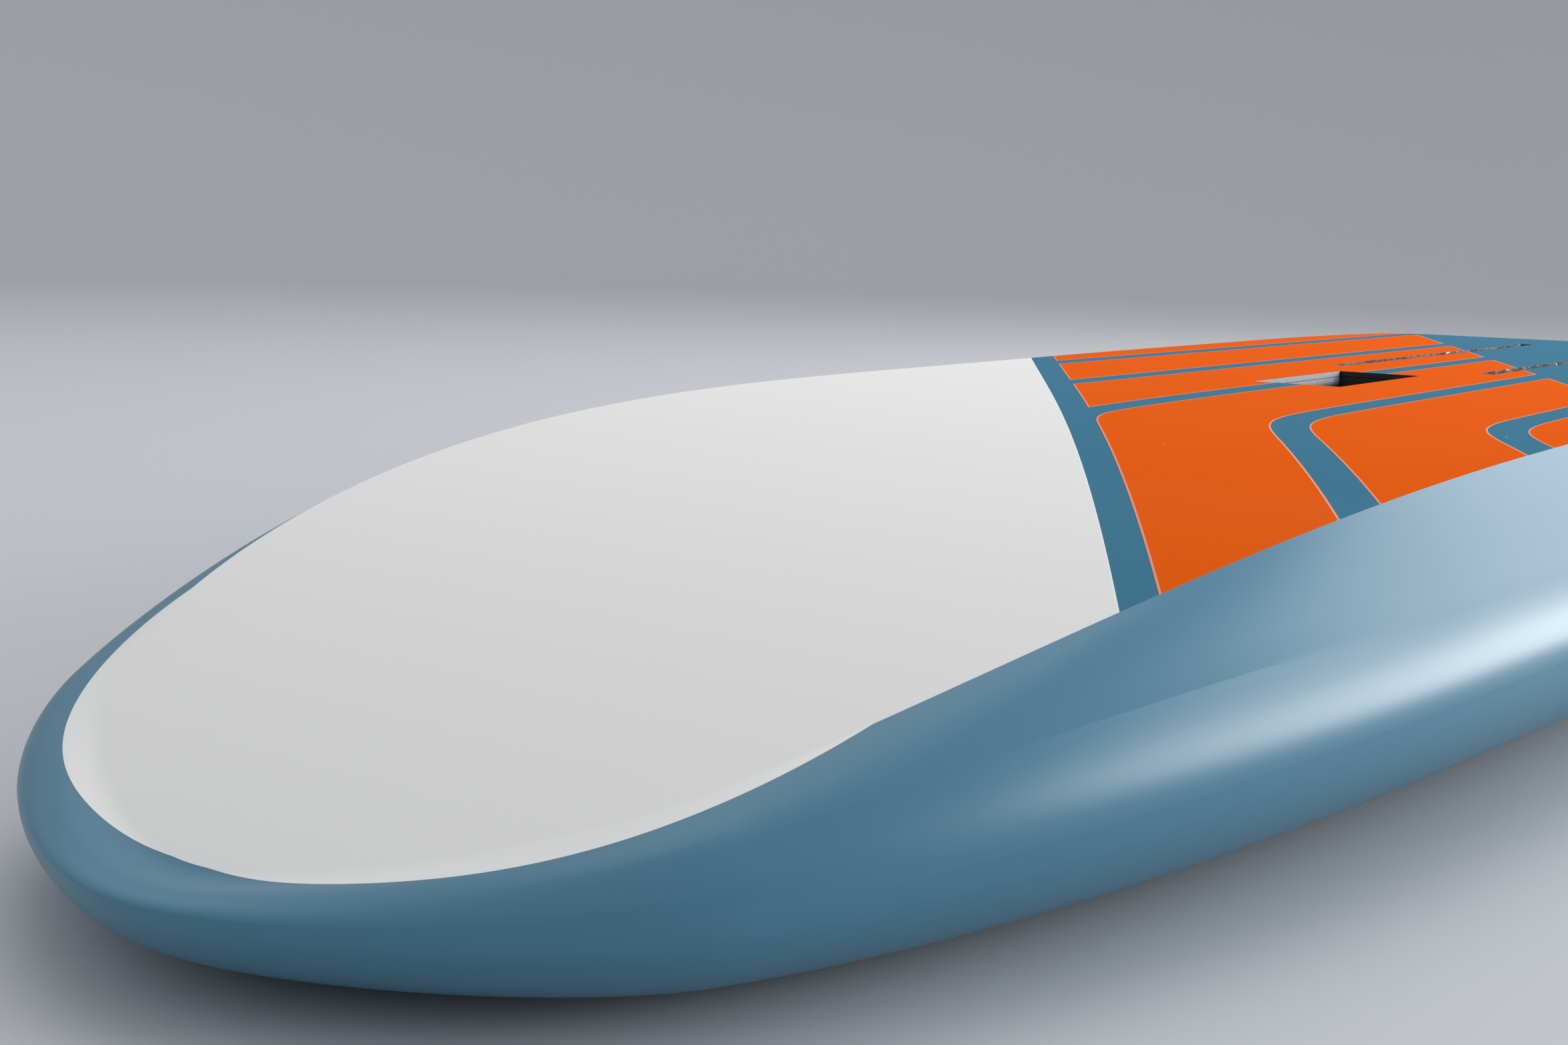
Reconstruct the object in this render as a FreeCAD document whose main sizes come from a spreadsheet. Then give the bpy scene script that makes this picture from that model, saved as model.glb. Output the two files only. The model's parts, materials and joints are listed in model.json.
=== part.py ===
"""Foil board, lying bottom up on its deck pads, as separate pieces.

Frame: millimetres, +X towards the tail, +Y towards the port rail, +Z up, away from the deck.
The origin is in the middle of the board's length, on the plane that the deck pads rest on.
"""
import FreeCAD, Part
import math
import os
import Sketcher

V = FreeCAD.Vector
doc = FreeCAD.newDocument("foil_board")

# Driving sizes, one row each: name, value, meaning
SIZES = (
    ("board_length", 1600, "nose tip to tail"),
    ("board_thickness", 110, "flat bottom to flat deck"),
    ("pad_thickness", 5, "soft deck pads"),
    ("skin", 3, "sandwich skin of both shells"),
    ("glue_line", 0.3, "bond between pieces that are glued together"),
    ("rail_half_width", 268, "centre line to the widest point of the rail"),
    ("nose_length", 1050, "nose tip to where the rail runs straight"),
    ("nose_power", 2, "fullness of the nose outline"),
    ("nose_bluntness", 2.8, "how blunt the nose outline is"),
    ("nose_tip_share", 0.36, "width of the nose outline at the very tip"),
    ("nose_tip_length", 74, "length over which the tip rounds off"),
    ("tail_length", 560, "where the rail turns in, to the tail"),
    ("tail_power", 2.2, "fullness of the tail outline"),
    ("tail_bluntness", 3.6, "squareness of the tail"),
    ("rail_depth", 56, "flat bottom down to the widest point of the rail"),
    ("nose_rail_depth", 85, "the same at the nose tip"),
    ("rail_rise_length", 600, "length over which the rail line rises from the nose"),
    ("nose_band", 22, "rail to panel edge at the nose"),
    ("side_band", 62, "rail to panel edge amidships"),
    ("tail_band", 30, "rail to panel edge at the tail"),
    ("band_growth_length", 800, "length over which the band widens from the nose"),
    ("nose_rocker", 92, "fall of the bottom at the nose tip"),
    ("rocker_length", 700, "length of the curved nose"),
    ("rocker_power", 3.8, "how late the nose curve sets in"),
    ("tail_rocker", 8, "fall of the bottom at the tail"),
    ("tail_rocker_length", 180, "length of the curved tail"),
    ("chine_out", 0.66, "chine, as a share of the way from panel edge to rail"),
    ("chine_down", 0.54, "chine, as a share of the height from panel edge to rail"),
    ("chine_fade_start", 20, "from the nose tip, where the chine begins to show"),
    ("chine_fade_end", 330, "from the nose tip, where the chine is fully sharp"),
    ("deck_roll", 72, "width of the rounded deck rail"),
    ("nose_deck_roll", 48, "width of the rounded deck rail at the nose"),
    ("deck_boxiness", 0.5, "fullness of the rounded deck rail"),
    ("nose_roll_length", 440, "length over which the rounded deck rail widens from the nose"),
    ("track_spacing", 90, "centre to centre of the two foil tracks"),
    ("track_length", 440, "inside length of a track"),
    ("track_start", 118, "middle of the board to the front of the tracks"),
    ("track_slot", 9.5, "width of the open slot"),
    ("track_lip", 5, "lip over the T channel"),
    ("track_channel_width", 19, "T channel"),
    ("track_channel_height", 9, "T channel"),
    ("track_relief_width", 11, "room for the bolt tips"),
    ("track_relief_depth", 9, "room for the bolt tips"),
    ("track_wall", 3.5, "side walls, floor and ends of a track box"),
    ("nut_length", 22, "along the track"),
    ("nut_slack", 0.4, "running gap of a nut in its track"),
    ("nut_collar", 3.5, "part of the nut that stands up in the slot"),
    ("nut_bore", 6.8, "tapping size of the M8 thread"),
    ("bolt_spacing", 165, "front to rear bolts of a mast plate"),
    ("front_bolt_place", 130, "front of the track to the front bolts"),
    ("block_margin", 12, "dense foam around the tracks"),
    ("block_depth", 62, "dense foam block, from the skin down"),
    ("handle_start", -71, "middle of the board to the front of the handle recess"),
    ("handle_length", 132, "opening of the handle recess"),
    ("handle_width", 47, "opening of the handle recess"),
    ("handle_depth", 46, "flat bottom to the floor of the recess"),
    ("handle_wall", 2.5, "moulded cup"),
    ("handle_flange", 12, "flange of the cup, bonded under the skin"),
    ("handle_lip_depth", 13, "flat bottom to the start of the finger room"),
    ("finger_room", 16, "how far the cup reaches under its lip"),
    ("collar_margin", 14, "dense foam round the handle cup"),
    ("stringer_place", 84, "centre line to the middle of a stringer"),
    ("stringer_thickness", 4, "sheer web"),
    ("vent_place", -335, "middle of the board to the vent"),
    ("vent_flange_radius", 14, "vent insert"),
    ("vent_flange", 2.5, "thickness of the insert's flange"),
    ("vent_body_radius", 10.5, "vent insert"),
    ("vent_body_depth", 18, "deck to the inner end of the insert"),
    ("vent_head_radius", 7.6, "vent screw"),
    ("vent_head", 3, "height of the screw's head"),
    ("vent_recess", 5, "head's resting depth under the deck, room to unscrew"),
    ("vent_thread_radius", 4, "vent screw"),
    ("vent_thread_length", 9, "vent screw"),
    ("vent_fit", 0.05, "running gap of the thread"),
    ("vent_head_gap", 0.4, "gap round the screw's head"),
    ("vent_air_radius", 1.5, "air way through the screw"),
    ("membrane_radius", 3, "breathing membrane in the head"),
    ("membrane_thickness", 0.4, "breathing membrane in the head"),
    ("seal_section", 1.8, "O-ring under the head"),
    ("coin_slot_width", 1.6, "slot in the head"),
    ("coin_slot_depth", 1.4, "slot in the head"),
    ("leash_place", 610, "middle of the board to the leash plug"),
    ("leash_flange_radius", 19, "leash plug"),
    ("leash_flange", 2.5, "thickness of the plug's flange"),
    ("leash_radius", 15, "outside of the plug's cup"),
    ("leash_wall", 2, "plug's cup"),
    ("leash_depth", 24, "deck to the bottom of the cup"),
    ("leash_pin_radius", 2.5, "bar that the leash loops round"),
    ("leash_pin_depth", 8, "deck to the middle of the bar"),
    ("press_gap", 0.02, "gap of pieces that are pressed together"),
    ("tool_reach", 10, "how far cutters and inner forms reach past the surface they open"),
    ("pad_start", -305, "front of the front pad"),
    ("front_pad_length", 260, "along the board"),
    ("middle_pad_length", 280, "along the board"),
    ("rear_pad_length", 240, "along the board"),
    ("pad_gap", 22, "bare strip between two pads"),
    ("pad_half_width", 164, "centre line to the edge of a pad"),
    ("rear_pad_taper", 30, "how much the rear pad narrows on each side"),
    ("pad_corner", 28, "rounded corners of the pads"),
    ("strap_spacing", 145, "two inserts of one foot strap"),
    ("strap_inner_place", 22, "centre line to the inner insert of a front strap"),
    ("insert_radius", 8, "flange of a strap insert"),
    ("insert_depth", 24, "deck to the inner end of an insert"),
    ("insert_bore", 5, "tapping size of the M6 thread"),
    ("insert_floor", 2, "closed end of a strap insert"),
)

sheet = doc.addObject("Spreadsheet::Sheet", "sizes")
for row, (alias, value, meaning) in enumerate(SIZES, start=1):
    sheet.set("A%d" % row, meaning)
    sheet.set("B%d" % row, str(value))
    sheet.setAlias("B%d" % row, alias)
doc.recompute()


def number(expression):
    """The value of an expression in the sheet's names."""
    return float(sheet.evalExpression(expression))


def size(alias):
    """One driving size."""
    return number("sizes." + alias)


# Levels and places that several pieces share, as expressions of the driving sizes
DECK = "sizes.pad_thickness"
BOTTOM = "(sizes.pad_thickness + sizes.board_thickness)"
UNDER_BOTTOM = "(%s - sizes.skin - sizes.glue_line)" % BOTTOM
OVER_DECK = "(%s + sizes.skin + sizes.glue_line)" % DECK
TRACK_HEIGHT = ("(sizes.track_lip + sizes.track_channel_height + sizes.track_relief_depth"
                " + sizes.track_wall)")
TRACK_BOX_WIDTH = "(sizes.track_channel_width + 2 * sizes.track_wall)"
TRACK_BOX_LENGTH = "(sizes.track_length + 2 * sizes.track_wall)"
SIDES = (("port", 1), ("starboard", -1))


# Hull formula
def clip(value, low=0.0, high=1.0):
    return max(low, min(high, value))


def fall(share):
    """Quarter circle: 0 at share 0, 1 at share 1, upright at 0 and level at 1."""
    return math.sqrt(max(0.0, 1 - (1 - clip(share)) ** 2))


def superellipse(share, power, bluntness):
    """0 at share 0, 1 at share 1, with a rounded start."""
    return max(0.0, 1 - (1 - clip(share)) ** power) ** (1 / bluntness)


def ease(share):
    """S curve from 0 to 1."""
    share = clip(share)
    return share * share * (3 - 2 * share)


def half_width(from_nose):
    """Half width of the rail."""
    from_tail = size("board_length") - from_nose
    nose = superellipse(from_nose / size("nose_length"), size("nose_power"), size("nose_bluntness"))
    tip = blend(size("nose_tip_share"), 1, fall(from_nose / size("nose_tip_length")))
    tail = superellipse(from_tail / size("tail_length"), size("tail_power"), size("tail_bluntness"))
    return size("rail_half_width") * nose * tip * tail


def bottom_line(from_nose):
    """Height of the flat bottom, with nose and tail rocker."""
    from_tail = size("board_length") - from_nose
    nose = clip(1 - from_nose / size("rocker_length")) ** size("rocker_power")
    tail = clip(1 - from_tail / size("tail_rocker_length")) ** 2
    return number(BOTTOM) - size("nose_rocker") * nose - size("tail_rocker") * tail


def rail_line(from_nose):
    """Height of the widest point of the rail, where the two shells meet."""
    rise = clip(1 - from_nose / size("rail_rise_length")) ** 2
    return number(BOTTOM) - blend(size("rail_depth"), size("nose_rail_depth"), rise)


def blend(a, b, share):
    return a + (b - a) * share


def unit(vector):
    return vector / max(vector.Length, 1e-9)


def rail_points():
    """Places round the port rail from nose to tail as (distance from nose, half width, inward normal)."""
    length = size("board_length")
    fine = 2400
    # Cosine spacing follows the steep outline at both ends
    trace = []
    for index in range(fine + 1):
        from_nose = length * (1 - math.cos(math.pi * index / fine)) / 2
        trace.append(V(from_nose, half_width(from_nose), 0))
    # The way round counts both length and turning, so that corners get more points
    way = [0.0]
    for index in range(fine):
        step = trace[index + 1] - trace[index]
        if index:
            turn = step.getAngle(trace[index] - trace[index - 1])
        else:
            turn = 0
        way.append(way[-1] + step.Length / length + turn / 2)
    count = 30
    points = []
    for index in range(count + 1):
        target = way[-1] * index / count
        at_way = min(fine, next(k for k in range(fine + 1) if way[k] >= target - 1e-12))
        before = trace[max(at_way - 1, 0)]
        after = trace[min(at_way + 1, fine)]
        along = unit(after - before)
        if index == 0:
            along = V(0, 1, 0)
        if index == count:
            along = V(0, -1, 0)
        points.append((trace[at_way].x, trace[at_way].y, V(along.y, -along.x, 0)))
    return points


RAIL = rail_points()


def ring(depth_in, height):
    """Points round the whole board, starboard tail to nose to port tail.

    depth_in gives the distance in from the rail for a place on the rail, and height the height there.
    """
    port = []
    for from_nose, half, inward in RAIL:
        inside = V(from_nose, half, 0) + inward * depth_in(from_nose)
        if from_nose in (RAIL[0][0], RAIL[-1][0]):
            inside.y = 0
        port.append(V(inside.x - size("board_length") / 2, inside.y, height(from_nose, inside.x)))
    starboard = [V(point.x, -point.y, point.z) for point in port[:0:-1]]
    return starboard + port


def ring_parameters():
    """Length along the rail at each of the ring's points, shared by every ring."""
    points = ring(lambda from_nose: 0, lambda from_nose, inside: 0)
    marks = [0.0]
    for start, end in zip(points, points[1:]):
        marks.append(marks[-1] + (end - start).Length)
    return marks


MARKS = ring_parameters()


def panel_band(from_nose):
    """Rail to the edge of the flat panel."""
    length = size("board_length")
    nose = ease(from_nose / size("band_growth_length"))
    tail = ease((length - from_nose) / size("tail_length"))
    return blend(size("nose_band"), size("side_band"), nose) - (size("side_band") - size("tail_band")) * (1 - tail)


def sharpness(from_nose):
    """0 where the nose is one smooth roll, 1 where the chine is sharp."""
    return ease((from_nose - size("chine_fade_start")) / (size("chine_fade_end") - size("chine_fade_start")))


def roll_width(from_nose):
    """Width of the rounded deck rail."""
    return blend(size("nose_deck_roll"), size("deck_roll"), ease(from_nose / size("nose_roll_length")))


def bottom_profiles(inset):
    """For each point round the hull, the poles of the bevel and of the band below the chine."""
    edge_ring = ring(lambda s: panel_band(s) + inset, lambda s, inside: bottom_line(inside) - inset)
    rail_ring = ring(lambda s: inset, lambda s, inside: rail_line(s))
    places = [place[0] for place in RAIL]
    places = places[:0:-1] + places
    bevels = []
    bands = []
    for edge, rail, from_nose in zip(edge_ring, rail_ring, places):
        out = V(rail.x - edge.x, rail.y - edge.y, 0)
        down = V(0, 0, rail.z - edge.z)
        hard = sharpness(from_nose)
        across = blend(math.sqrt(0.5), size("chine_out"), hard)
        below = blend(1 - math.sqrt(0.5), size("chine_down"), hard)
        chine = edge + out * across + down * below
        bevel = unit(chine - edge)
        lower = unit(rail - chine)
        lean = unit(lower * 1.6 - unit(down) * 0.6)
        level = unit(out)
        level.z = (bottom_line(from_nose + 1) - bottom_line(from_nose)) * level.x
        leave_edge = unit(blend(unit(level), bevel, hard))
        arrive_chine = unit(blend(unit(rail - edge), bevel, hard))
        leave_chine = unit(blend(unit(rail - edge), lean, hard))
        pull = (chine - edge).Length * ARC_REACH
        bevels.append((edge, edge + leave_edge * pull, chine - arrive_chine * pull, chine))
        pull = (rail - chine).Length * ARC_REACH
        bands.append((chine, chine + leave_chine * pull, rail - unit(down) * pull, rail))
    return bevels, bands


def deck_profiles(inset, seam):
    """For each point round the hull, the poles of the rounded deck rail."""
    rail_ring = ring(lambda s: inset, lambda s, inside: rail_line(s) - seam)
    deck_ring = ring(lambda s: roll_width(s) + inset, lambda s, inside: number(DECK) + inset)
    rolls = []
    for rail, deck in zip(rail_ring, deck_ring):
        fullness = size("deck_boxiness")
        corner = V(rail.x, rail.y, deck.z)
        rolls.append((rail, blend(rail, corner, fullness), blend(deck, corner, fullness), deck))
    return rolls


def spread(columns):
    """Curves through matching points of every profile: one curve for each pole, all on the same knots."""
    curves = []
    for points in zip(*columns):
        curve = Part.BSplineCurve()
        curve.interpolate(Points=list(points), Parameters=MARKS)
        curves.append(curve)
    return curves


def strip(curves, first, last):
    """Face between two marks, carried by the curves as the poles of its cross profile."""
    surface = Part.BSplineSurface()
    degree = len(curves) - 1
    poles = [list(row) for row in zip(*[curve.getPoles() for curve in curves])]
    surface.buildFromPolesMultsKnots(
        poles, curves[0].getMultiplicities(), [degree + 1, degree + 1], curves[0].getKnots(), [0, 1],
        False, False, curves[0].Degree, degree
    )
    surface.segment(first, last, 0, 1)
    return surface.toShape()


def both_sides(columns):
    """Starboard and port faces of one strip of the hull."""
    curves = spread(columns)
    return [strip(curves, MARKS[0], NOSE_MARK), strip(curves, NOSE_MARK, MARKS[-1])]


def lid(points):
    """Face ruled straight across the board between the two halves of a ring."""
    flat = [(point, V(point.x, -point.y, point.z)) for point in points]
    return strip(spread(flat), NOSE_MARK, MARKS[-1])


def level_lid(points):
    """Flat face inside a ring that lies level."""
    curve = spread([(point,) for point in points])[0]
    halves = [curve.toShape(start, end) for start, end in ((MARKS[0], NOSE_MARK), (NOSE_MARK, MARKS[-1]))]
    return Part.Face(Part.Wire(halves))


def closed(faces):
    """Solid inside the faces."""
    shell = Part.makeShell(faces)
    shell.sewShape(SEWING)
    if shell.ShapeType != "Shell":
        shell = shell.Shells[0]
    solid = Part.makeSolid(shell)
    if solid.Volume < 0:
        solid.reverse()
    return solid


NOSE_MARK = MARKS[len(RAIL) - 1]
ARC_REACH = 0.35
SEWING = 0.01


def lowered(points, drop):
    return [V(point.x, point.y, point.z + drop) for point in points]


def skirt(points, drop):
    """Upright strip from a ring to the same ring moved by the drop."""
    return list(zip(points, lowered(points, drop)))


def on_profile(poles, share):
    """Point on the curve that the poles make."""
    curve = Part.BezierCurve()
    curve.setPoles(list(poles))
    return curve.value(share)


def flattened(columns, steps):
    """Strips that are straight across, in place of one curved strip."""
    rows = [[on_profile(poles, step / steps) for poles in columns] for step in range(steps + 1)]
    return [list(zip(start, end)) for start, end in zip(rows, rows[1:])]


def bottom_half(inset, overlap=0, plain=False):
    """Solid from the flat bottom to the parting line, and on past it by the overlap.

    Curved profiles are laid in narrow strips that are straight across, and in wider ones for inner faces.
    """
    bevels, bands = bottom_profiles(inset)
    faces = [lid([column[0] for column in bevels])]
    for columns in flattened(bevels, 1 if plain else 2) + flattened(bands, 1 if plain else 2):
        faces += both_sides(columns)
    rim = [column[-1] for column in bands]
    if overlap:
        faces += both_sides(skirt(rim, -overlap))
        rim = lowered(rim, -overlap)
    return closed(faces + [lid(rim)])


def deck_half(inset, seam, overlap=0, plain=False):
    """Solid from the deck to the parting line, and on past it by the overlap."""
    rolls = deck_profiles(inset, seam)
    faces = [level_lid([column[-1] for column in rolls])]
    for columns in flattened(rolls, 2 if plain else 5):
        faces += both_sides(columns)
    rim = [column[0] for column in rolls]
    if overlap:
        faces += both_sides(skirt(rim, overlap))
        rim = lowered(rim, overlap)
    return closed(faces + [lid(rim)])


def core_form(inset):
    """Solid inside both shells."""
    bevels, bands = bottom_profiles(inset)
    rolls = deck_profiles(inset, 0)
    faces = [lid([column[0] for column in bevels]), level_lid([column[-1] for column in rolls])]
    for columns in flattened(bevels, 1) + flattened(bands, 1) + flattened(rolls, 2):
        faces += both_sides(columns)
    return closed(faces)


# Small builders for document objects
def feature(name, shape):
    item = doc.addObject("Part::Feature", name)
    item.Label = name
    item.Shape = shape
    return item


def bind(item, **expressions):
    for path, expression in expressions.items():
        item.setExpression(path, str(expression))


def place(item, x="0", y="0", z="0"):
    for axis, expression in (("x", x), ("y", y), ("z", z)):
        item.setExpression("Placement.Base." + axis, str(expression))


def box(name, low, span):
    """Box from its low corner and its spans, all expressions."""
    item = doc.addObject("Part::Box", name)
    item.Label = name
    bind(item, Length=span[0], Width=span[1], Height=span[2])
    place(item, *low)
    return item


def cylinder(name, centre, radius, height):
    """Upright cylinder from the centre of its lower face."""
    item = doc.addObject("Part::Cylinder", name)
    item.Label = name
    bind(item, Radius=radius, Height=height)
    place(item, *centre)
    return item


def cut(name, base, tools):
    """Base with every tool taken away."""
    if len(tools) == 1:
        tool = tools[0]
    else:
        tool = doc.addObject("Part::MultiFuse", name + "_cutters")
        tool.Shapes = tools
    item = doc.addObject("Part::Cut", name)
    item.Label = name
    item.Base = base
    item.Tool = tool
    return item


def common(name, base, tool):
    item = doc.addObject("Part::Common", name)
    item.Label = name
    item.Base = base
    item.Tool = tool
    return item


def body(name):
    item = doc.addObject("PartDesign::Body", name)
    item.Label = name
    return item


def sketch(owner, name, plane, corners, offset="0"):
    """Closed outline of straight lines on one of the body's own planes, each corner bound to its sizes."""
    item = owner.newObject("Sketcher::SketchObject", name)
    support = [part for part in owner.Origin.OriginFeatures if part.Role == plane][0]
    item.AttachmentSupport = (support, [""])
    item.MapMode = "FlatFace"
    item.setExpression("AttachmentOffset.Base.z", offset)
    points = [(number(x), number(y)) for x, y in corners]
    count = len(points)
    for index in range(count):
        start = V(*points[index], 0)
        end = V(*points[(index + 1) % count], 0)
        item.addGeometry(Part.LineSegment(start, end), False)
    for index in range(count):
        item.addConstraint(Sketcher.Constraint("Coincident", index, 2, (index + 1) % count, 1))
    for index, corner in enumerate(corners):
        for kind, value, expression in zip(("DistanceX", "DistanceY"), points[index], corner):
            added = item.addConstraint(Sketcher.Constraint(kind, -1, 1, index, 1, value))
            item.setExpression("Constraints[%d]" % added, expression)
    return item


def circle_sketch(owner, name, plane, centre, radius, offset="0"):
    """One circle on one of the body's own planes."""
    item = owner.newObject("Sketcher::SketchObject", name)
    support = [part for part in owner.Origin.OriginFeatures if part.Role == plane][0]
    item.AttachmentSupport = (support, [""])
    item.MapMode = "FlatFace"
    item.setExpression("AttachmentOffset.Base.z", offset)
    middle = V(number(centre[0]), number(centre[1]), 0)
    item.addGeometry(Part.Circle(middle, V(0, 0, 1), number(radius)), False)
    for kind, value, expression in zip(("DistanceX", "DistanceY"), (middle.x, middle.y), centre):
        added = item.addConstraint(Sketcher.Constraint(kind, -1, 1, 0, 3, value))
        item.setExpression("Constraints[%d]" % added, expression)
    added = item.addConstraint(Sketcher.Constraint("Radius", 0, number(radius)))
    item.setExpression("Constraints[%d]" % added, radius)
    return item


def pad(owner, name, profile, length):
    item = owner.newObject("PartDesign::Pad", name)
    item.Profile = profile
    item.setExpression("Length", length)
    return item


def pocket(owner, name, profile, length, backwards=True, both=False):
    """Pocket that has to take material away: it runs with the sketch's normal unless told otherwise."""
    doc.recompute()
    before = owner.Shape.Volume
    item = owner.newObject("PartDesign::Pocket", name)
    item.Profile = profile
    item.setExpression("Length", length)
    item.Reversed = backwards
    if both:
        item.SideType = "Symmetric"
    doc.recompute()
    if owner.Shape.Volume >= before - 1e-3:
        raise RuntimeError(name + " takes nothing away")
    return item


def revolve(owner, name, profile):
    item = owner.newObject("PartDesign::Revolution", name)
    item.Profile = profile
    item.ReferenceAxis = (profile, ["V_Axis"])
    item.Angle = 360
    return item


def round_upright(owner, name, base, radius, test):
    """Fillet the upright edges whose middle passes the test."""
    doc.recompute()
    chosen = []
    for index, edge in enumerate(base.Shape.Edges, start=1):
        start, end = edge.firstVertex().Point, edge.lastVertex().Point
        if (end - start).cross(V(0, 0, 1)).Length < 1e-6 and test(start):
            chosen.append("Edge%d" % index)
    item = owner.newObject("PartDesign::Fillet", name)
    item.Base = (base, chosen)
    item.setExpression("Radius", radius)
    return item


# Shells
def bottom_shell():
    """Skin of the bottom and the lower rails, with the handle opening and the two track slots."""
    reach = size("tool_reach")
    skin = feature("bottom_form", bottom_half(0))
    room = feature("bottom_room", bottom_half(size("skin"), reach, True))
    start = "%s - 2 * sizes.skin" % BOTTOM
    height = "4 * sizes.skin"
    tools = [room]
    tools.append(box(
        "handle_opening", ("sizes.handle_start", "-sizes.handle_width / 2", start),
        ("sizes.handle_length", "sizes.handle_width", height)
    ))
    for side, sign in SIDES:
        y = "%d * sizes.track_spacing / 2 - sizes.track_slot / 2" % sign
        tools.append(box(
            "slot_opening_" + side, ("sizes.track_start", y, start),
            ("sizes.track_length", "sizes.track_slot", height)
        ))
    return cut("bottom_shell", skin, tools)


def deck_shell():
    """Skin of the deck and the upper rails, with holes for the vent, the leash plug and the strap inserts."""
    seam = size("glue_line")
    skin = feature("deck_form", deck_half(0, seam))
    room = feature("deck_room", deck_half(size("skin"), seam, size("tool_reach"), True))
    base = "%s - sizes.skin" % DECK
    height = "3 * sizes.skin"
    tools = [room]
    tools.append(cylinder(
        "vent_hole", ("sizes.vent_place", "0", base), "sizes.vent_flange_radius + sizes.glue_line", height
    ))
    tools.append(cylinder(
        "leash_hole", ("sizes.leash_place", "0", base), "sizes.leash_flange_radius + sizes.glue_line", height
    ))
    for index, (x, y) in enumerate(STRAP_PLACES):
        tools.append(cylinder(
            "insert_hole_%d" % index, (x, y, base), "sizes.insert_radius + sizes.glue_line", height
        ))
    return cut("deck_shell", skin, tools)


# Places of the pads' bare strips and of the inserts in them
MIDDLE_PAD = "(sizes.pad_start + sizes.front_pad_length + sizes.pad_gap)"
REAR_PAD = "(%s + sizes.middle_pad_length + sizes.pad_gap)" % MIDDLE_PAD
FRONT_STRAPS = "(%s - sizes.pad_gap / 2)" % MIDDLE_PAD
REAR_STRAP = "(%s - sizes.pad_gap / 2)" % REAR_PAD
OUTER_INSERT = "(sizes.strap_inner_place + sizes.strap_spacing)"
STRAP_PLACES = (
    (FRONT_STRAPS, OUTER_INSERT),
    (FRONT_STRAPS, "sizes.strap_inner_place"),
    (FRONT_STRAPS, "-sizes.strap_inner_place"),
    (FRONT_STRAPS, "-" + OUTER_INSERT),
    (REAR_STRAP, "sizes.strap_spacing / 2"),
    (REAR_STRAP, "-sizes.strap_spacing / 2"),
)
BLOCK_START = "(sizes.track_start - sizes.track_wall - sizes.block_margin)"
BLOCK_HALF = "(sizes.track_spacing / 2 + %s / 2 + sizes.block_margin)" % TRACK_BOX_WIDTH
BLOCK_LENGTH = "(%s + 2 * sizes.block_margin)" % TRACK_BOX_LENGTH
CUP_FLOOR = "(sizes.handle_depth - sizes.skin - sizes.glue_line)"
CUP_HEIGHT = "(%s + sizes.handle_wall)" % CUP_FLOOR
CUP_FAR = "(sizes.handle_width / 2 + sizes.handle_wall)"
CUP_NEAR = "(%s + sizes.finger_room)" % CUP_FAR


def grown(name, low, span):
    """Box for a glued-in piece: its own box with the glue line all round, and open above."""
    margin = "sizes.glue_line"
    return box(
        name, ["%s - %s" % (value, margin) for value in low],
        ["%s + 2 * %s" % (span[0], margin), "%s + 2 * %s" % (span[1], margin), "%s + sizes.tool_reach" % span[2]]
    )


BLOCK_BOX = (
    (BLOCK_START, "-" + BLOCK_HALF, "%s - sizes.block_depth" % UNDER_BOTTOM),
    (BLOCK_LENGTH, "2 * " + BLOCK_HALF, "sizes.block_depth")
)
COLLAR_BOX = (
    (
        "sizes.handle_start - sizes.handle_wall - sizes.collar_margin",
        "-(%s + sizes.collar_margin)" % CUP_NEAR,
        "%s - %s - sizes.collar_margin" % (UNDER_BOTTOM, CUP_HEIGHT)
    ),
    (
        "sizes.handle_length + 2 * (sizes.handle_wall + sizes.collar_margin)",
        "%s + %s + 2 * sizes.collar_margin" % (CUP_NEAR, CUP_FAR),
        "%s + sizes.collar_margin" % CUP_HEIGHT
    )
)


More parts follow.
